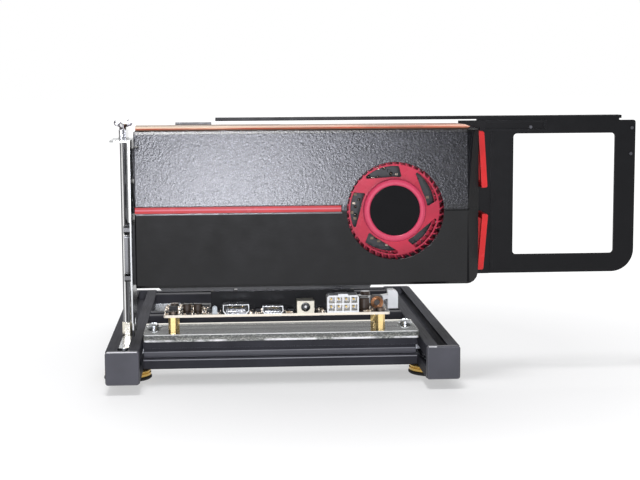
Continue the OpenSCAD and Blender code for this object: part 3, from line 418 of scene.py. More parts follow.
white_nylon = plastic("white_nylon", (0.93, 0.95, 0.95), 0.42, 900, 0.02, 0.35)
epoxy = plastic("chip_epoxy", (0.02, 0.02, 0.022), 0.55, 2600, 0.03, 0.2)
ceramic = plastic("ceramic", (0.38, 0.27, 0.17), 0.5, 1600, 0.02, 0.15)
resistor = plastic("resistor_black", (0.03, 0.03, 0.035), 0.4, 1600, 0.02, 0.15)
ferrite = plastic("ferrite", (0.07, 0.055, 0.045), 0.5, 1500, 0.05, 0.3)
motor_black = plastic("motor_black", (0.02, 0.02, 0.022), 0.4)
disc_black = plastic("disc_black", (0.004, 0.004, 0.005), 0.14, 300, 0.004, 0.3,
                     Specular_IOR_Level=0.12)

# Capacitors: a printed sleeve round a can whose top is bare aluminium
sleeve = plastic("can_sleeve", (0.05, 0.031, 0.021), 0.35, 700, 0.02, 0.2)
bare_top = sleeve.math("GREATER_THAN", sleeve.facing(Z), 0.9)
sleeve.tint(bare_top, (0.4, 0.4, 0.41))
sleeve.metal_where(bare_top)

lamp = Look("lamp_lens", (0.55, 0.58, 0.6), 0.08, IOR=1.5, Transmission_Weight=0.6)
lamp.shader.inputs["Emission Color"].default_value = (0.85, 0.92, 1.0, 1.0)
lamp.shader.inputs["Emission Strength"].default_value = 0.25
lamp.gloss(lamp.noise(300), 0.05, 0.14)

# Clear plate with sawn, frosted sides, and pale lines along its edges that are painted highlights, the
# back one also given a painted glow
CLEARNESS = 0.92
RIM_DEPTH, BACK_GLOW_WIDTH, FOOT_HIGHLIGHT_RISE = 0.7, 4, 1.2
acrylic = Look("clear_acrylic", (0.86, 0.93, 0.9), 0.04, IOR=1.49, Specular_IOR_Level=0.1)
sawn = acrylic.side_faces()
acrylic.gloss(acrylic.noise(120, 3), 0.02, 0.07)
acrylic.gloss_where(sawn, 0.35)
acrylic.tint(sawn, (0.17, 0.178, 0.17))
saw_marks = acrylic.ramp(acrylic.noise(1500, 3, (0.6, 1, 1.2)), 0.48, 0.62)
acrylic.tint(acrylic.math("MULTIPLY", sawn, saw_marks), (0.6, 0.61, 0.58))
plate_low, plate_high = span("clear_plate")
front_face = (plate_low.y - 1, plate_low.y + RIM_DEPTH)
front_highlight = acrylic.zone("clear_plate", y=front_face, z=(plate_high.z - 0.5, plate_high.z + 1))
back_glow = acrylic.zone("clear_plate", y=(plate_high.y - BACK_GLOW_WIDTH, plate_high.y + 1),
                        z=(plate_high.z - 0.8, plate_high.z + 1))
highlight_rim = acrylic.math("MAXIMUM", front_highlight, back_glow)
foot_highlight = acrylic.zone("clear_plate", y=front_face, z=(plate_low.z - 1, plate_low.z + FOOT_HIGHLIGHT_RISE))
breaks = acrylic.ramp(acrylic.noise(60, 3, ALONG_Z), 0.42, 0.56)
acrylic.tint(acrylic.math("MULTIPLY", foot_highlight, breaks), (1.0, 1.0, 1.0))
painted_glow = acrylic.mix(back_glow, (0.0, 0.0, 0.0), (0.42, 0.39, 0.33))
acrylic.link(painted_glow, acrylic.shader.inputs["Emission Color"])
acrylic.shader.inputs["Emission Strength"].default_value = 1.0
# Cloudy darker streaks on the top face are painted dark reflections
top_face = acrylic.zone("clear_plate", x=(plate_low.x + 0.6, plate_high.x - 0.6),
                        y=(plate_low.y + 0.8, plate_high.y - BACK_GLOW_WIDTH),
                        z=(plate_high.z - 0.5, plate_high.z + 1))
dark_reflections = acrylic.ramp(acrylic.noise(130, 4, (0.12, 1, 1)), 0.38, 0.58, 0.2, 0.85)
acrylic.tint(acrylic.math("MULTIPLY", top_face, dark_reflections), (0.3, 0.31, 0.3))
acrylic.tint(highlight_rim, (1.0, 1.0, 0.97))
highlight_lines = acrylic.math("MAXIMUM", highlight_rim, foot_highlight)
frost_and_highlight = acrylic.math("MAXIMUM", acrylic.math("MULTIPLY", sawn, 0.25),
                       acrylic.math("MULTIPLY", highlight_lines, 0.8))
acrylic.link(acrylic.math("SUBTRACT", CLEARNESS, frost_and_highlight), acrylic.shader.inputs["Transmission Weight"])
acrylic.round_edges(0.4)
acrylic.bump(acrylic.noise(500, 3, ALONG_X), 0.25, 0.02)


def board_look(name, colour, edge_of):
    """Solder resist with copper tracks showing through, and tan edges of glass fibre."""
    look = Look(name, colour, 0.32, Coat_Weight=0.25)
    tracks = look.add("ShaderNodeTexBrick")
    tracks.offset = 0.37
    tracks.inputs["Scale"].default_value = 150
    tracks.inputs["Mortar Size"].default_value = 0.035
    tracks.inputs["Brick Width"].default_value = 1.9
    tracks.inputs["Row Height"].default_value = 0.28
    turned = look.add("ShaderNodeMapping")
    turned.inputs["Rotation"].default_value = edge_of
    look.link(look.place, turned.inputs["Vector"])
    look.link(turned.outputs[0], tracks.inputs["Vector"])
    look.vary(look.noise(80, 4), 0.25)
    light = tuple(min(1.0, c * 2.1 + 0.012) for c in colour)
    look.tint(look.math("MULTIPLY", tracks.outputs["Fac"], 0.8), light)
    look.gloss(look.noise(300, 3), 0.27, 0.38)
    look.round_edges(0.15)
    look.bump(tracks.outputs["Fac"], 0.5, 0.03)
    return look


FIBRE = (0.95, 0.86, 0.72)
adapter_look = board_look("adapter_resist", (0.028, 0.018, 0.015), (0, 0, 0))
adapter_look.tint(adapter_look.side_faces(), FIBRE)
card_look = board_look("card_resist", (0.012, 0.012, 0.014), (math.radians(90), 0, 0))
card_look.tint(card_look.edge_faces(), FIBRE)

# Black powder coat, its edges lightened as a painted highlight
powder = plastic("powder_coat", (0.006, 0.006, 0.007), 0.34, 1900, 0.03, 0.3, (0.1, 0.1, 0.11),
                 Specular_IOR_Level=0.15)

# Satin shroud: above the crease, a grain with painted sparkle highlights and painted shade in its
# hollows, and a base colour made lighter on the left as painted light; the highlights and the
# painted light weaken to the right. Below it, a darker, smoother finish
CREASE_Z = 106.0
LIGHT_FADE_FROM, LIGHT_FADE_TO = at(150, 0, 0).x, at(212, 0, 0).x
END_BEVEL, LEFT_RIM = 7.8, 0.85
shroud_look = Look("shroud_plastic", (0.006, 0.006, 0.007), 0.3, Specular_IOR_Level=0.45)
upper = shroud_look.math("GREATER_THAN", shroud_look.along(Z), CREASE_Z * MM)
shroud_look.vary(shroud_look.noise(35, 4), 0.25)
ground_with_painted_light = shroud_look.mix(shroud_look.ramp(shroud_look.along(X), LIGHT_FADE_FROM, LIGHT_FADE_TO),
                         (0.016, 0.016, 0.021), (0.006, 0.006, 0.008))
shroud_look.tint(upper, ground_with_painted_light)
sparkle_highlights = shroud_look.ramp(shroud_look.noise(1150, 2), 0.52, 0.68)
sparkle_share = shroud_look.ramp(shroud_look.along(X), LIGHT_FADE_FROM, LIGHT_FADE_TO, 0.3, 0.1)
upper_sparkles = shroud_look.math("MULTIPLY", sparkle_highlights, shroud_look.math("MULTIPLY", upper, sparkle_share))
shroud_look.tint(upper_sparkles, (0.36, 0.36, 0.43))
grain_shade = shroud_look.ramp(shroud_look.noise(1000, 2), 0.47, 0.36)
upper_grain_shade = shroud_look.math("MULTIPLY", grain_shade, shroud_look.math("MULTIPLY", upper, 0.55))
shroud_look.tint(upper_grain_shade, (0.003, 0.003, 0.004))

# Painted shade darkens its right end and left rim, which are also made mostly metallic to dim them, and
# a painted highlight lies as a pale line under the stripe
shell_low, shell_high = span("shroud")
right_end = shroud_look.zone("shroud", x=(shell_high.x - END_BEVEL, shell_high.x + 1))
left_rim = shroud_look.zone("shroud", x=(shell_low.x - 1, shell_low.x + LEFT_RIM))
painted_shade = shroud_look.math("MAXIMUM", right_end, left_rim)
shroud_look.tint(painted_shade, (0.003, 0.003, 0.004))
lower_share = shroud_look.math("MULTIPLY", shroud_look.math("SUBTRACT", 1.0, upper), 0.3)
shade_share = shroud_look.math("MULTIPLY", painted_shade, 0.75)
shroud_look.metal_where(shroud_look.math("MAXIMUM", shade_share, lower_share))
stripe_low, stripe_high = span("stripe")
highlight_under_stripe = shroud_look.zone("stripe", x=(stripe_low.x - 1, stripe_high.x + 0.5),
                                y=(stripe_low.y - 1, stripe_low.y + 1),
                                z=(stripe_low.z - 0.9, stripe_low.z))
shroud_look.tint(highlight_under_stripe, (0.16, 0.16, 0.17))
shroud_look.gloss(shroud_look.noise(90, 4), 0.15, 0.22)
shroud_look.gloss_where(upper, 0.24)
shroud_look.round_edges(0.5)
grain_height = shroud_look.math("MULTIPLY", shroud_look.noise(800, 4),
                                shroud_look.math("ADD", upper, 0.35))
shroud_look.bump(grain_height, 0.9, 0.1)

# Red wheel, with a painted highlight making the ring round the hub disc paler, painted shade darkening
# the tips of the blades, and painted highlights on its edges
HUB_RING, BLADE_TIP, BLEND = 4.4, 2.6, 0.4
wheel_look = plastic("wheel_red", (0.57, 0.016, 0.055), 0.28, 500, 0.01, 0.5, (0.95, 0.2, 0.3),
                     Specular_IOR_Level=0.3)
hub_low, hub_high = span("hub_disc")
hub_x, hub_z = (hub_low.x + hub_high.x) / 2, (hub_low.z + hub_high.z) / 2
hub_r = (hub_high.x - hub_low.x) / 2
wheel_low, wheel_high = span("blower_wheel")
wheel_r = (wheel_high.x - wheel_low.x) / 2
from_hub = wheel_look.distance(at(hub_x, 0, hub_z), (1, 0, 1))
hub_ring_highlight = wheel_look.ramp(from_hub, (hub_r + HUB_RING) * MM, (hub_r + HUB_RING - BLEND) * MM)
wheel_look.tint(wheel_look.math("MULTIPLY", hub_ring_highlight, 0.75), (0.62, 0.07, 0.14))
blade_tip_shade = wheel_look.ramp(from_hub, (wheel_r - BLADE_TIP) * MM, (wheel_r - BLADE_TIP + BLEND) * MM)
wheel_look.tint(wheel_look.math("MULTIPLY", blade_tip_shade, 0.7), (0.2, 0.004, 0.02))
# Red trims, with painted highlights on their edges
trim_red = plastic("trim_red", (0.62, 0.014, 0.016), 0.25, 500, 0.01, 0.5, (0.9, 0.16, 0.14),
                   Specular_IOR_Level=0.3)

# Red stripe with a painted highlight along its middle and painted shade, a darker line, at its two
# edges
STRIPE_EDGE = 0.35
stripe_look = plastic("stripe_red", (0.52, 0.016, 0.02), 0.25, 500, 0.01, 0.3,
                      Specular_IOR_Level=0.3)
stripe_mid = (stripe_low.z + stripe_high.z) / 2
stripe_face = (stripe_low.y - 1, stripe_low.y + 1)
stripe_highlight = stripe_look.zone("stripe", x=(stripe_low.x, stripe_high.x), y=stripe_face,
                                z=(stripe_mid - 0.35, stripe_mid + 0.65))
stripe_look.tint(stripe_highlight, (0.62, 0.13, 0.17))
for foot, crest in ((stripe_low.z - 0.1, stripe_low.z + STRIPE_EDGE),
                    (stripe_high.z - STRIPE_EDGE, stripe_high.z + 0.1)):
    stripe_look.tint(stripe_look.zone("stripe", y=stripe_face, z=(foot, crest)), (0.26, 0.012, 0.014))

# The strip is a clear glossy moulding over orange-brown, with pale and darker streaks along it and
# painted highlights on its edges. Its crown has a painted highlight, stronger to the left, and painted
# shade darkens its front towards its foot.
HIGHLIGHT_FROM, HIGHLIGHT_TO = at(205, 0, 0).x, at(60, 0, 0).x
CROWN_FROM, CROWN_TO = 1.7, 2.1
STRIP_FOOT_SHADE = ((1.4, (0.3, 0.12, 0.07)), (0.85, (0.055, 0.035, 0.026)))
strip_look = plastic("strip_orange", (0.5, 0.075, 0.035), 0.12, 350, 0.008, 0.5, (0.95, 0.6, 0.48),
                     Coat_Weight=0.9)
streaks = strip_look.noise(420, 4, (0.05, 1.0, 1.6))
strip_look.tint(strip_look.ramp(streaks, 0.5, 0.62), (0.78, 0.42, 0.3))
strip_look.tint(strip_look.ramp(streaks, 0.46, 0.36), (0.16, 0.045, 0.03))
highlight_share = strip_look.ramp(strip_look.along(X), HIGHLIGHT_FROM, HIGHLIGHT_TO, 0.25, 0.95)
strip_low = span("top_strip")[0]
crown = strip_look.ramp(strip_look.along(Z), (strip_low.z + CROWN_FROM) * MM,
                        (strip_low.z + CROWN_TO) * MM)
strip_look.tint(strip_look.math("MULTIPLY", highlight_share, crown), (0.78, 0.6, 0.45))
for rise, colour in STRIP_FOOT_SHADE:
    strip_look.tint(strip_look.zone("top_strip", z=(strip_low.z - 1, strip_low.z + rise)), colour)

# The round socket is ivory, with painted shade in its opening and a bright pin in its middle
OPENING_R, PIN_R = 2.75, 0.9
dc_look = plastic("dc_ivory", (0.8, 0.75, 0.62), 0.4, 900, 0.02, 0.35)
dc_low, dc_high = span("dc_socket")
dc_mid = (dc_low + dc_high) / 2
opening_shade = dc_look.zone("dc_socket", x=(dc_mid.x - OPENING_R, dc_mid.x + OPENING_R),
                       y=(dc_low.y + 0.6, dc_high.y - 1),
                       z=(dc_mid.z - OPENING_R, dc_mid.z + OPENING_R))
dc_look.tint(opening_shade, (0.03, 0.03, 0.03))
pin = dc_look.zone("dc_socket", x=(dc_mid.x - PIN_R, dc_mid.x + PIN_R), y=(dc_low.y + 0.5, dc_high.y),
                   z=(dc_mid.z - PIN_R, dc_mid.z + PIN_R))
dc_look.tint(pin, (0.8, 0.8, 0.8))

FINISHES = {
    rails_back: ["side_rail_left", "side_rail_right"],
    rails_across: ["front_rail", "middle_rail", "rear_rail"],
    cap: CAPS,
    gold: ["foot_front_left", "foot_front_right", "foot_rear_left", "foot_rear_right"],
    rubber: ["ring_front_left", "ring_front_right", "ring_rear_left", "ring_rear_right",
             "post_washer"],
    zinc: ["foot_screws", "foot_nuts", "plate_screws", "plate_nuts", "post_nut",
           "corner_connectors"],
    black_screw: ["board_screws"],
    dark_steel: ["connector_screws", "extension_screws"],
    acrylic: ["clear_plate"],
    brass: ["board_standoffs"],
    pale_brass: ["post_base"],
    adapter_look: ["adapter_board"],
    black_nylon: ["expansion_slot"],
    white_nylon: ["slot_latch", "power_header"],
    socket_look: ["link_socket", "mini_socket"],
    port_look: ["port_stack", "port_small"],
    dc_look: ["dc_socket"],
    sleeve: ["board_capacitors"],
    ferrite: ["board_coils"],
    epoxy: ["board_chips"],
    lamp: ["status_lamp"],
    drawn: ["post_rod", "post_spacer"],
    chrome: ["wing_screw"],
    bracket_steel: ["card_bracket"],
    card_look: ["card_board"],
    sink: ["heat_sink"],
    motor_black: ["blower_motor"],
    wheel_look: ["blower_wheel"],
    disc_black: ["hub_disc"],
    shroud_look: ["shroud"],
    stripe_look: ["stripe"],
    trim_red: ["intake_trim_upper", "intake_trim_lower"],
    strip_look: ["top_strip"],
    powder: ["extension_plate"],
    spring_steel: ["spring_plate"],
}
for look, names in FINISHES.items():
    for name in names:
        slots = nodes[name].data.materials
        slots.clear()
        slots.append(look.material)

# Small parts: each piece is one mesh of many bevelled or rounded bodies

BASE = "base"


class Piece:
    """A mesh under construction, in layout millimetres."""

    def __init__(self, name, slot, *looks):
        self.name = name
        self.slot = slot
        self.looks = looks
        self.mesh = bmesh.new()

    def block(self, low, high, look=0, bevel=0.12):
        """A box with bevelled edges."""
        low, high = Vector(low), Vector(high)
        made = bmesh.ops.create_cube(self.mesh, size=1.0)["verts"]
        for vert in made:
            vert.co = Vector((low[k] + (vert.co[k] + 0.5) * (high[k] - low[k]) for k in range(3)))
        edges = list({edge for vert in made for edge in vert.link_edges})
        faces = list({face for vert in made for face in vert.link_faces})
        if bevel:
            cut = bmesh.ops.bevel(self.mesh, geom=edges, offset=bevel, segments=1, affect="EDGES")
            faces = list({face for vert in cut["verts"] for face in vert.link_faces})
        for face in faces:
            face.material_index = look

    def dome(self, centre, radius, towards, look=0, rise=0.7):
        """A low rounded blob of solder that stands on a face."""
        towards = Vector(towards)
        made = bmesh.ops.create_icosphere(self.mesh, subdivisions=2, radius=radius)["verts"]
        for vert in made:
            along = vert.co.dot(towards)
            flat = vert.co - towards * along
            vert.co = Vector(centre) + flat + towards * max(along, -0.05 * radius) * rise
        for face in {face for vert in made for face in vert.link_faces}:
            face.material_index = look
            face.smooth = True

    def ring(self, centre, radius, wire, look=0, steps=28, sides=8):
        """A turn of round wire that lies upright, facing along y."""
        rows = []
        for k in range(steps):
            turn = 2 * math.pi * k / steps
            out = Vector((math.cos(turn), 0, math.sin(turn)))
            row = []
            for j in range(sides):
                tilt = 2 * math.pi * j / sides
                reach = radius + wire * math.cos(tilt)
                row.append(self.mesh.verts.new(
                    Vector(centre) + out * reach + Vector((0, wire * math.sin(tilt), 0))))
            rows.append(row)
        for k in range(steps):
            for j in range(sides):
                face = self.mesh.faces.new((rows[k][j], rows[(k + 1) % steps][j],
                                            rows[(k + 1) % steps][(j + 1) % sides],
                                            rows[k][(j + 1) % sides]))
                face.material_index = look
                face.smooth = True

    def finish(self):
        for vert in self.mesh.verts:
            vert.co = at(*vert.co)
        bmesh.ops.recalc_face_normals(self.mesh, faces=self.mesh.faces)
        data = bpy.data.meshes.new(self.name)
        self.mesh.to_mesh(data)
        self.mesh.free()
        for look in self.looks:
            data.materials.append(look.material)
        piece = bpy.data.objects.new(self.name, data)
        bpy.context.scene.collection.objects.link(piece)
        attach(piece, BASE)


def tree_of(names):
    """A search tree of the faces of some nodes, to see what stands where."""
    points, faces = [], []
    for name in names:
        first = len(points)
        points += [vert.co for vert in nodes[name].data.vertices]
        faces += [[first + k for k in face.vertices] for face in nodes[name].data.polygons]
    return BVHTree.FromPolygons(points, faces)


# A ray towards a face starts this far off it, in metres, and stops short of it, in millimetres
RAY_START, CLEARANCE = 0.03, 0.02


def is_free(tree, corners, away):
    """True where nothing stands on a face, looking back at it from beyond its corners."""
    for corner in corners:
        start = at(*corner) + Vector(away) * RAY_START
        if tree.ray_cast(start, -Vector(away), RAY_START - CLEARANCE * MM)[0] is not None:
            return False
    return True


# Two-ended parts: the tinned share of the length at each end, how far the tin stands proud, and
# how much their edges are cut
END_SHARE, TIN, CHIP_BEVEL = 0.24, 0.03, 0.06
# Length, width and height of the parts; the three first are the ones on the card's front
SIZES = ((1.6, 0.8, 0.5), (1.6, 0.8, 0.8), (2.0, 1.25, 0.9), (3.2, 1.6, 1.2), (1.0, 0.5, 0.4))
picker = random.Random(7)


def chip_part(piece, x, y, z, length, width, tall, body):
    """A two-ended part on a level board, along x or y, with tinned ends."""
    along = X if length >= width else Y
    across = Y if along == X else X
    half = (length / 2, width / 2)
    end = END_SHARE * max(length, width)
    for start, stop, is_end in ((-half[along], end - half[along], True),
                                (end - half[along], half[along] - end, False),
                                (half[along] - end, half[along], True)):
        grow = TIN if is_end else 0.0
        low, high = [x, y, z], [x, y, z + tall + grow]
        low[along] += start
        high[along] += stop
        low[across] -= half[across] + grow
        high[across] += half[across] + grow
        piece.block(low, high, 0 if is_end else body, CHIP_BEVEL)


BOARD_LOW, BOARD_HIGH = span("adapter_board")
BOARD_TOP = BOARD_HIGH.z
CARD_LOW, CARD_HIGH = span("card_board")

# Parts soldered on the top of the adapter board, wherever nothing else stands. They are closer
# together at its left end.
ROW_STEP, PART_SPACE = 2.3, 0.35
CROWDED_LENGTH, CROWDED, SPARSE = 34, 0.9, 0.6
standing = tree_of(["board_screws", "expansion_slot", "slot_latch", "link_socket", "mini_socket",
                    "dc_socket", "power_header", "board_capacitors", "board_coils", "board_chips",
                    "status_lamp"])
small_parts = Piece("board_small_parts", "chip_black", solder, ceramic, resistor)
row = BOARD_LOW.y + 1.6
while row < BOARD_HIGH.y - 1.2:
    column = BOARD_LOW.x + 1.8
    while column < BOARD_HIGH.x - 1.8:
        length, width, tall = picker.choice(SIZES)
        if picker.random() < 0.35:
            length, width = width, length
        keep = picker.random() < (CROWDED if column < BOARD_LOW.x + CROWDED_LENGTH else SPARSE)
        edge_x, edge_y = length / 2 + PART_SPACE, width / 2 + PART_SPACE
        corners = [(column + a * edge_x, row + b * edge_y, BOARD_TOP)
                   for a in (-1, 0, 1) for b in (-1, 0, 1)]
        if keep and is_free(standing, corners, (0, 0, 1)):
            chip_part(small_parts, column, row, BOARD_TOP, length, width, tall,
                      1 if picker.random() < 0.6 else 2)
        column += max(length, 1.4) + picker.choice((0.7, 0.9, 1.6))
    row += ROW_STEP
small_parts.finish()

# Legs of the flat chips: each chip's left, front, width and depth, and the axes that have rows
CHIPS = ((26, 6, 8, 8, (X, Y)), (10, 15, 7, 7, (X, Y)), (98, 26.5, 9, 6, (X,)), (20, 28, 10, 6, (X,)))
LEG_PITCH, LEG_WIDTH, LEG_OUT, LEG_RISE, LEG_FOOT = 1.0, 0.36, 0.8, 0.55, 0.16
LEG_ROOT, LEG_RISER = 0.02, 0.25
legs = Piece("chip_legs", "chip_black", solder)


def add_legs(corner, size, along):
    """Two rows of legs along x or y, one on each side of a chip."""
    across = Y if along == X else X
    near, far = corner[across], corner[across] + size[across]
    count = int(size[along] / LEG_PITCH) - 1
    for k in range(count):
        place = corner[along] + size[along] / 2 + (k - (count - 1) / 2) * LEG_PITCH
        for start, stop, foot in ((near - LEG_RISER, near + LEG_ROOT, near - LEG_OUT),
                                  (far - LEG_ROOT, far + LEG_RISER, far + LEG_OUT)):
            for edges, rise, bevel in (((start, stop), LEG_RISE, 0.05),
                                       ((min(foot, start), max(foot, stop)), LEG_FOOT, 0.04)):
                low, high = [0, 0, BOARD_TOP], [0, 0, BOARD_TOP + rise]
                low[along], high[along] = place - LEG_WIDTH / 2, place + LEG_WIDTH / 2
                low[across], high[across] = edges
                legs.block(low, high, 0, bevel)


for left, front, wide, deep, rows in CHIPS:
    for along in rows:
        add_legs((BOARD_LOW.x + left, BOARD_LOW.y + front), (wide, deep), along)
legs.finish()

# Soldered pins under the adapter board: two rows for the slot, then the sockets and the header
SLOT_PINS, SLOT_PIN_PITCH, SLOT_PIN_INSET, SLOT_ROW = 34, 2.2, 8, 1.9
SOCKET_PINS = (("link_socket", 6), ("mini_socket", 5), ("dc_socket", 2), ("power_header", 4))
PIN_INSET, PIN_FRONT, PIN_ROW = 1.8, 4.6, 4
under = Piece("board_solder", "zinc", solder)
slot_y = (slot_low.y + slot_high.y) / 2
for k in range(SLOT_PINS):
    for side in (-1, 1):
        under.dome((slot_low.x + SLOT_PIN_INSET + SLOT_PIN_PITCH * k, slot_y + SLOT_ROW * side,
                    BOARD_LOW.z), 0.62, (0, 0, -1))
for name, count in SOCKET_PINS:
    low, high = span(name)
    reach = high.x - low.x - 2 * PIN_INSET
    for k in range(count):
        for j in range(2):
            under.dome((low.x + PIN_INSET + reach * k / (count - 1), low.y + PIN_FRONT + PIN_ROW * j,
                        BOARD_LOW.z), 0.75, (0, 0, -1))
under.finish()

# Contacts on the tongues inside the two cable sockets, and the pins of the power header
CONTACT_PITCH, CONTACT_HALF, TONGUE_SHARE = 0.72, 0.18, 0.68
HEADER_PITCH, HEADER_ROWS, PIN_HALF = 4.6, (2.95, 7.65), 0.55
contacts = Piece("socket_contacts", "brass", gilt)
for name, count in (("link_socket", 14), ("mini_socket", 11)):
    low, high = span(name)
    middle = (low.x + high.x) / 2
    tongue_top = low.z + (high.z - low.z) * TONGUE_SHARE
    for k in range(count):
        x = middle + (k - (count - 1) / 2) * CONTACT_PITCH
        contacts.block((x - CONTACT_HALF, low.y + 1.1, tongue_top - 0.02),
                       (x + CONTACT_HALF, low.y + 5, tongue_top + 0.1), 0, 0.03)
low, high = span("power_header")
middle = (low.x + high.x) / 2
for column in (-1.5, -0.5, 0.5, 1.5):
    for rise in HEADER_ROWS:
        x, z = middle + column * HEADER_PITCH, low.z + rise
        contacts.block((x - PIN_HALF, low.y + 3.2, z - PIN_HALF),
                       (x + PIN_HALF, low.y + 9.1, z + PIN_HALF), 0, 0.15)
contacts.finish()

# Copper turns on the front of the two coils, placed from the board's right end and front edge
COILS, COIL_FRONT, COIL_RISE = ((-7, 12), (-26, 14.5)), 2.75, 4.3
TURN_RADII, WIRE = (2.2, 2.95, 3.6), 0.34
turns = Piece("coil_turns", "brown_components", copper)
for from_end, depth in COILS:
    centre = (BOARD_HIGH.x + from_end, BOARD_LOW.y + depth - COIL_FRONT, BOARD_TOP + COIL_RISE)
    for radius in TURN_RADII:
        turns.ring(centre, radius, WIRE)
turns.finish()

# Parts on the back of the card, in clusters, clear of the spring and of what is riveted on
MEMORY_CHIP = 3
back = CARD_HIGH.y
on_back = tree_of(["spring_plate", "extension_plate", "extension_screws", "card_bracket",
                   "expansion_slot", "post_rod", "shroud"])
back_parts = Piece("card_back_parts", "card_black", solder, ceramic, resistor, epoxy)


def on_card(x, z, length, height, tall, look):
    """A body on the card's back, with tinned ends where it is a two-ended part."""
    along = X if length >= height else Z
    across = Z if along == X else X
    half = {X: length / 2, Z: height / 2}
    ends = END_SHARE * max(length, height) if look != MEMORY_CHIP else 0
    bodies = [(ends - half[along], half[along] - ends, tall, look)]
    if ends:
        bodies += [(-half[along], ends - half[along], tall + TIN, 0),
                   (half[along] - ends, half[along], tall + TIN, 0)]
    for start, stop, rise, finish in bodies:
        low, high = [x, back, z], [x, back + rise, z]
        low[along] += start
        high[along] += stop
        low[across] -= half[across]
        high[across] += half[across]
        back_parts.block(low, high, finish, CHIP_BEVEL)


BACK_SPACE = 0.5
# Margins of the card's back that stay bare: left, right, foot and top
BARE_LEFT, BARE_RIGHT, BARE_FOOT, BARE_TOP = 4, 3, 16, 7


def room_on_card(x, z, length, height):
    reach_x, reach_z = length / 2 + BACK_SPACE, height / 2 + BACK_SPACE
    corners = [(x + a * reach_x, back, z + b * reach_z) for a in (-1, 0, 1) for b in (-1, 0, 1)]
    on_board = (CARD_LOW.x + BARE_LEFT < x - reach_x and x + reach_x < CARD_HIGH.x - BARE_RIGHT
                and CARD_LOW.z + BARE_FOOT < z - reach_z and z + reach_z < CARD_HIGH.z - BARE_TOP)
    return on_board and is_free(on_back, corners, (0, 1, 0))


# Memory chips: middle in x and z, length and height
MEMORY = ((36, 86, 12, 9), (36, 112, 12, 9), (136, 82, 9, 12), (136, 118, 9, 12))
for x, z, length, height in MEMORY:
    on_card(x, z, length, height, 1.0, MEMORY_CHIP)

# Clusters: middle in x and z, how far they spread in x, and how many parts are tried
CLUSTERS = ((85, 104, 13, 90), (36, 99, 9, 26), (150, 100, 20, 60), (196, 110, 24, 80),
            (190, 80, 20, 50), (110, 76, 30, 40), (60, 136, 30, 40), (150, 138, 40, 40))
SPREAD_Z = 13
taken = [(x, z, length / 2, height / 2) for x, z, length, height in MEMORY]
for middle_x, middle_z, spread, count in CLUSTERS:
    for k in range(count):
        length, height, tall = picker.choice(SIZES)
        if picker.random() < 0.5:
            length, height = height, length
        x = round(middle_x + picker.uniform(-spread, spread), 1)
        z = round(middle_z + picker.uniform(-SPREAD_Z, SPREAD_Z), 1)
        apart = all(abs(x - a) > length / 2 + c + BACK_SPACE
                    or abs(z - b) > height / 2 + d + BACK_SPACE for a, b, c, d in taken)
        if apart and room_on_card(x, z, length, height):
            taken.append((x, z, length / 2, height / 2))
            on_card(x, z, length, height, tall, 1 if picker.random() < 0.6 else 2)
back_parts.finish()

# Soldered pins on the card's back, behind its ports and its power parts: where each row starts
# in x and z, its steps in x and z, and its count
PIN_ROWS = ((24, 70, 0, 2.1, 16), (28, 70, 0, 2.1, 16), (25, 118, 0, 2.4, 8),
            (214, 74, 0, 3.2, 8), (219, 74, 0, 3.2, 8), (178, 132, 3.4, 0, 10))
PIN_SPACE = 0.9
pins = Piece("card_solder", "zinc", solder)
for x, z, step_x, step_z, count in PIN_ROWS:
    for k in range(count):
        pin_x, pin_z = x + step_x * k, z + step_z * k
        if all(abs(pin_x - a) > c + PIN_SPACE or abs(pin_z - b) > d + PIN_SPACE
               for a, b, c, d in taken):
            pins.dome((pin_x, back, pin_z), 0.7, (0, 1, 0))
pins.finish()

# Parts along the card's lower edge, seen between the slot and the shroud
EDGE_PART_RISE, EDGE_PART_END = 11.8, 0.4
front_parts = Piece("card_front_parts", "card_black", solder, ceramic, resistor)
x = slot_low.x + 4
z = CARD_LOW.z + EDGE_PART_RISE
while x < slot_high.x - 6:
    length, height, tall = picker.choice(SIZES[:3])
    body = 1 if picker.random() < 0.6 else 2
    for start, stop, proud, finish in ((EDGE_PART_END, length - EDGE_PART_END, 0, body),
                                       (0, EDGE_PART_END, TIN, 0),
                                       (length - EDGE_PART_END, length, TIN, 0)):
        front_parts.block((x + start, CARD_LOW.y - tall - proud, z),
                          (x + stop, CARD_LOW.y, z + height), finish, CHIP_BEVEL)
    x += length + picker.choice((1.2, 2.4, 4.0))
front_parts.finish()

# Web that closes the shroud's upper left corner, where its leaning front meets the side opening
WEB_LOW = (shell_low.x + 0.1, 20.6, 145.1)
WEB_HIGH = (shell_low.x + 3.2, 22.2, 148.4)
web = Piece("shroud_corner_web", "shroud_black", shroud_look)
web.block(WEB_LOW, WEB_HIGH, 0, 0.15)
web.finish()

# What shows through the windows of the wheel: solder and small parts on the motor's base
MOTOR_PARTS, MOTOR_REACH, FLANGE = 54, (19.5, 24.6), 3
motor_parts = Piece("motor_small_parts", "motor_black", solder, resistor, ceramic)
motor_front = span("blower_motor")[1].y - FLANGE
for k in range(MOTOR_PARTS):
    turn = 2 * math.pi * (k + picker.uniform(-0.3, 0.3)) / MOTOR_PARTS
    reach = picker.uniform(*MOTOR_REACH)
    x, z = hub_x + reach * math.cos(turn), hub_z + reach * math.sin(turn)
    if k % 2:
        motor_parts.dome((x, motor_front, z), picker.uniform(0.7, 1.3), (0, -1, 0), 0, 1.1)
    else:
        motor_parts.block((x - 1, motor_front - picker.uniform(0.8, 2.2), z - 0.8),
                          (x + 1, motor_front, z + 0.8), picker.choice((0, 1, 2)), 0.15)
motor_parts.finish()

# Floor and light: the paper turns into plain white light far from the part, and near it some
# light of its own keeps the shadows pale. Distances are from the middle of the part, in metres.

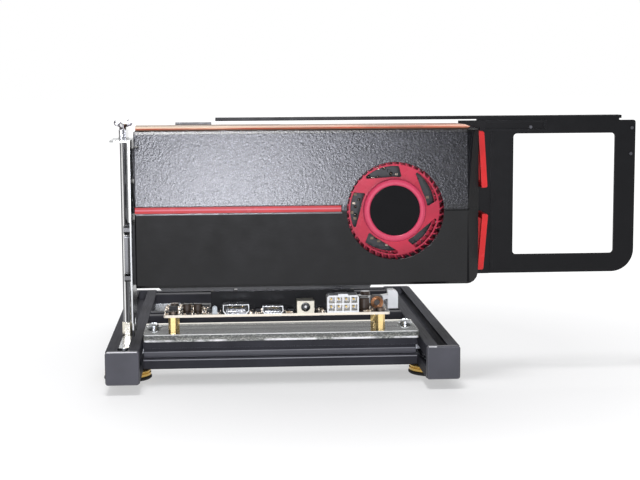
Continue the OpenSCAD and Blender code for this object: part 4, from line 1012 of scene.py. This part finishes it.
FLOOR_HALF, FLOOR_CELLS = 8.0, 8
GLOW_FROM, GLOW_TO, GLOW_NEAR, GLOW_FAR = 0.14, 0.3, 0.84, 1.15
SHARE_FROM, SHARE_TO, SHARE_NEAR, SHARE_FAR = 0.2, 0.55, 0.55, 1.0
floor_mesh = bpy.data.meshes.new("floor")
grid = bmesh.new()
bmesh.ops.create_grid(grid, x_segments=FLOOR_CELLS, y_segments=FLOOR_CELLS, size=FLOOR_HALF)
grid.to_mesh(floor_mesh)
grid.free()
floor = bpy.data.objects.new("floor", floor_mesh)
bpy.context.scene.collection.objects.link(floor)
paper = Look("floor_paper", (0.88, 0.88, 0.89), 0.7, Specular_IOR_Level=0.3)
paper.vary(paper.noise(3, 2), 0.01)
from_middle = paper.distance((0, 0, 0))
glow = paper.add("ShaderNodeEmission")
paper.link(paper.ramp(from_middle, GLOW_FROM, GLOW_TO, GLOW_NEAR, GLOW_FAR), glow.inputs["Strength"])
fade = paper.add("ShaderNodeMixShader")
paper.link(paper.ramp(from_middle, SHARE_FROM, SHARE_TO, SHARE_NEAR, SHARE_FAR), fade.inputs[0])
paper.link(paper.shader.outputs[0], fade.inputs[1])
paper.link(glow.outputs[0], fade.inputs[2])
paper.link(fade.outputs[0], paper.out.inputs["Surface"])
floor_mesh.materials.append(paper.material)


def softbox(name, place, aim, size, power, colour=(1, 1, 1)):
    data = bpy.data.lights.new(name, "AREA")
    data.shape = "RECTANGLE"
    data.size, data.size_y = size
    data.energy = power
    data.color = colour
    light = bpy.data.objects.new(name, data)
    bpy.context.scene.collection.objects.link(light)
    light.location = place
    light.rotation_euler = (Vector(aim) - Vector(place)).to_track_quat("-Z", "Y").to_euler()


softbox("flash", at(72, -1010, 200), at(95, 20, 115), (0.17, 0.12), 5.8, (0.94, 0.96, 1.05))
softbox("key_light", (-0.15, -0.25, 1.35), (0, -0.08, 0.1), (0.35, 0.3), 11)
softbox("back_light", (0.1, 1.2, 1.1), (0, 0, 0.1), (1.2, 0.8), 9)

# A pale backdrop behind the part up to a low height, dimmer above it and in front, and some
# light from overhead
world = bpy.data.worlds.new("studio")
world.use_nodes = True
sky = world.node_tree
direction = sky.nodes.new("ShaderNodeTexCoord").outputs["Generated"]
axes = sky.nodes.new("ShaderNodeSeparateXYZ")
sky.links.new(direction, axes.inputs[0])


def level(socket, low, high, out_low, out_high):
    node = sky.nodes.new("ShaderNodeMapRange")
    limits = {"From Min": low, "From Max": high, "To Min": out_low, "To Max": out_high}
    for name, value in limits.items():
        node.inputs[name].default_value = value
    sky.links.new(socket, node.inputs["Value"])
    return node.outputs["Result"]


def join(operation, a, b):
    node = sky.nodes.new("ShaderNodeMath")
    node.operation = operation
    sky.links.new(a, node.inputs[0])
    sky.links.new(b, node.inputs[1])
    return node.outputs[0]


behind = level(axes.outputs[Y], -0.2, 0.6, 0.12, 1.0)
low_down = level(axes.outputs[Z], 0.12, 0.2, 1.0, 0.3)
overhead = level(axes.outputs[Z], 0.3, 0.95, 0.0, 0.35)
total = join("ADD", join("MULTIPLY", behind, low_down), overhead)
background = sky.nodes["Background"]
background.inputs["Color"].default_value = (1, 1, 1, 1)
sky.links.new(total, background.inputs["Strength"])
bpy.context.scene.world = world
bpy.context.scene.view_settings.view_transform = "Standard"
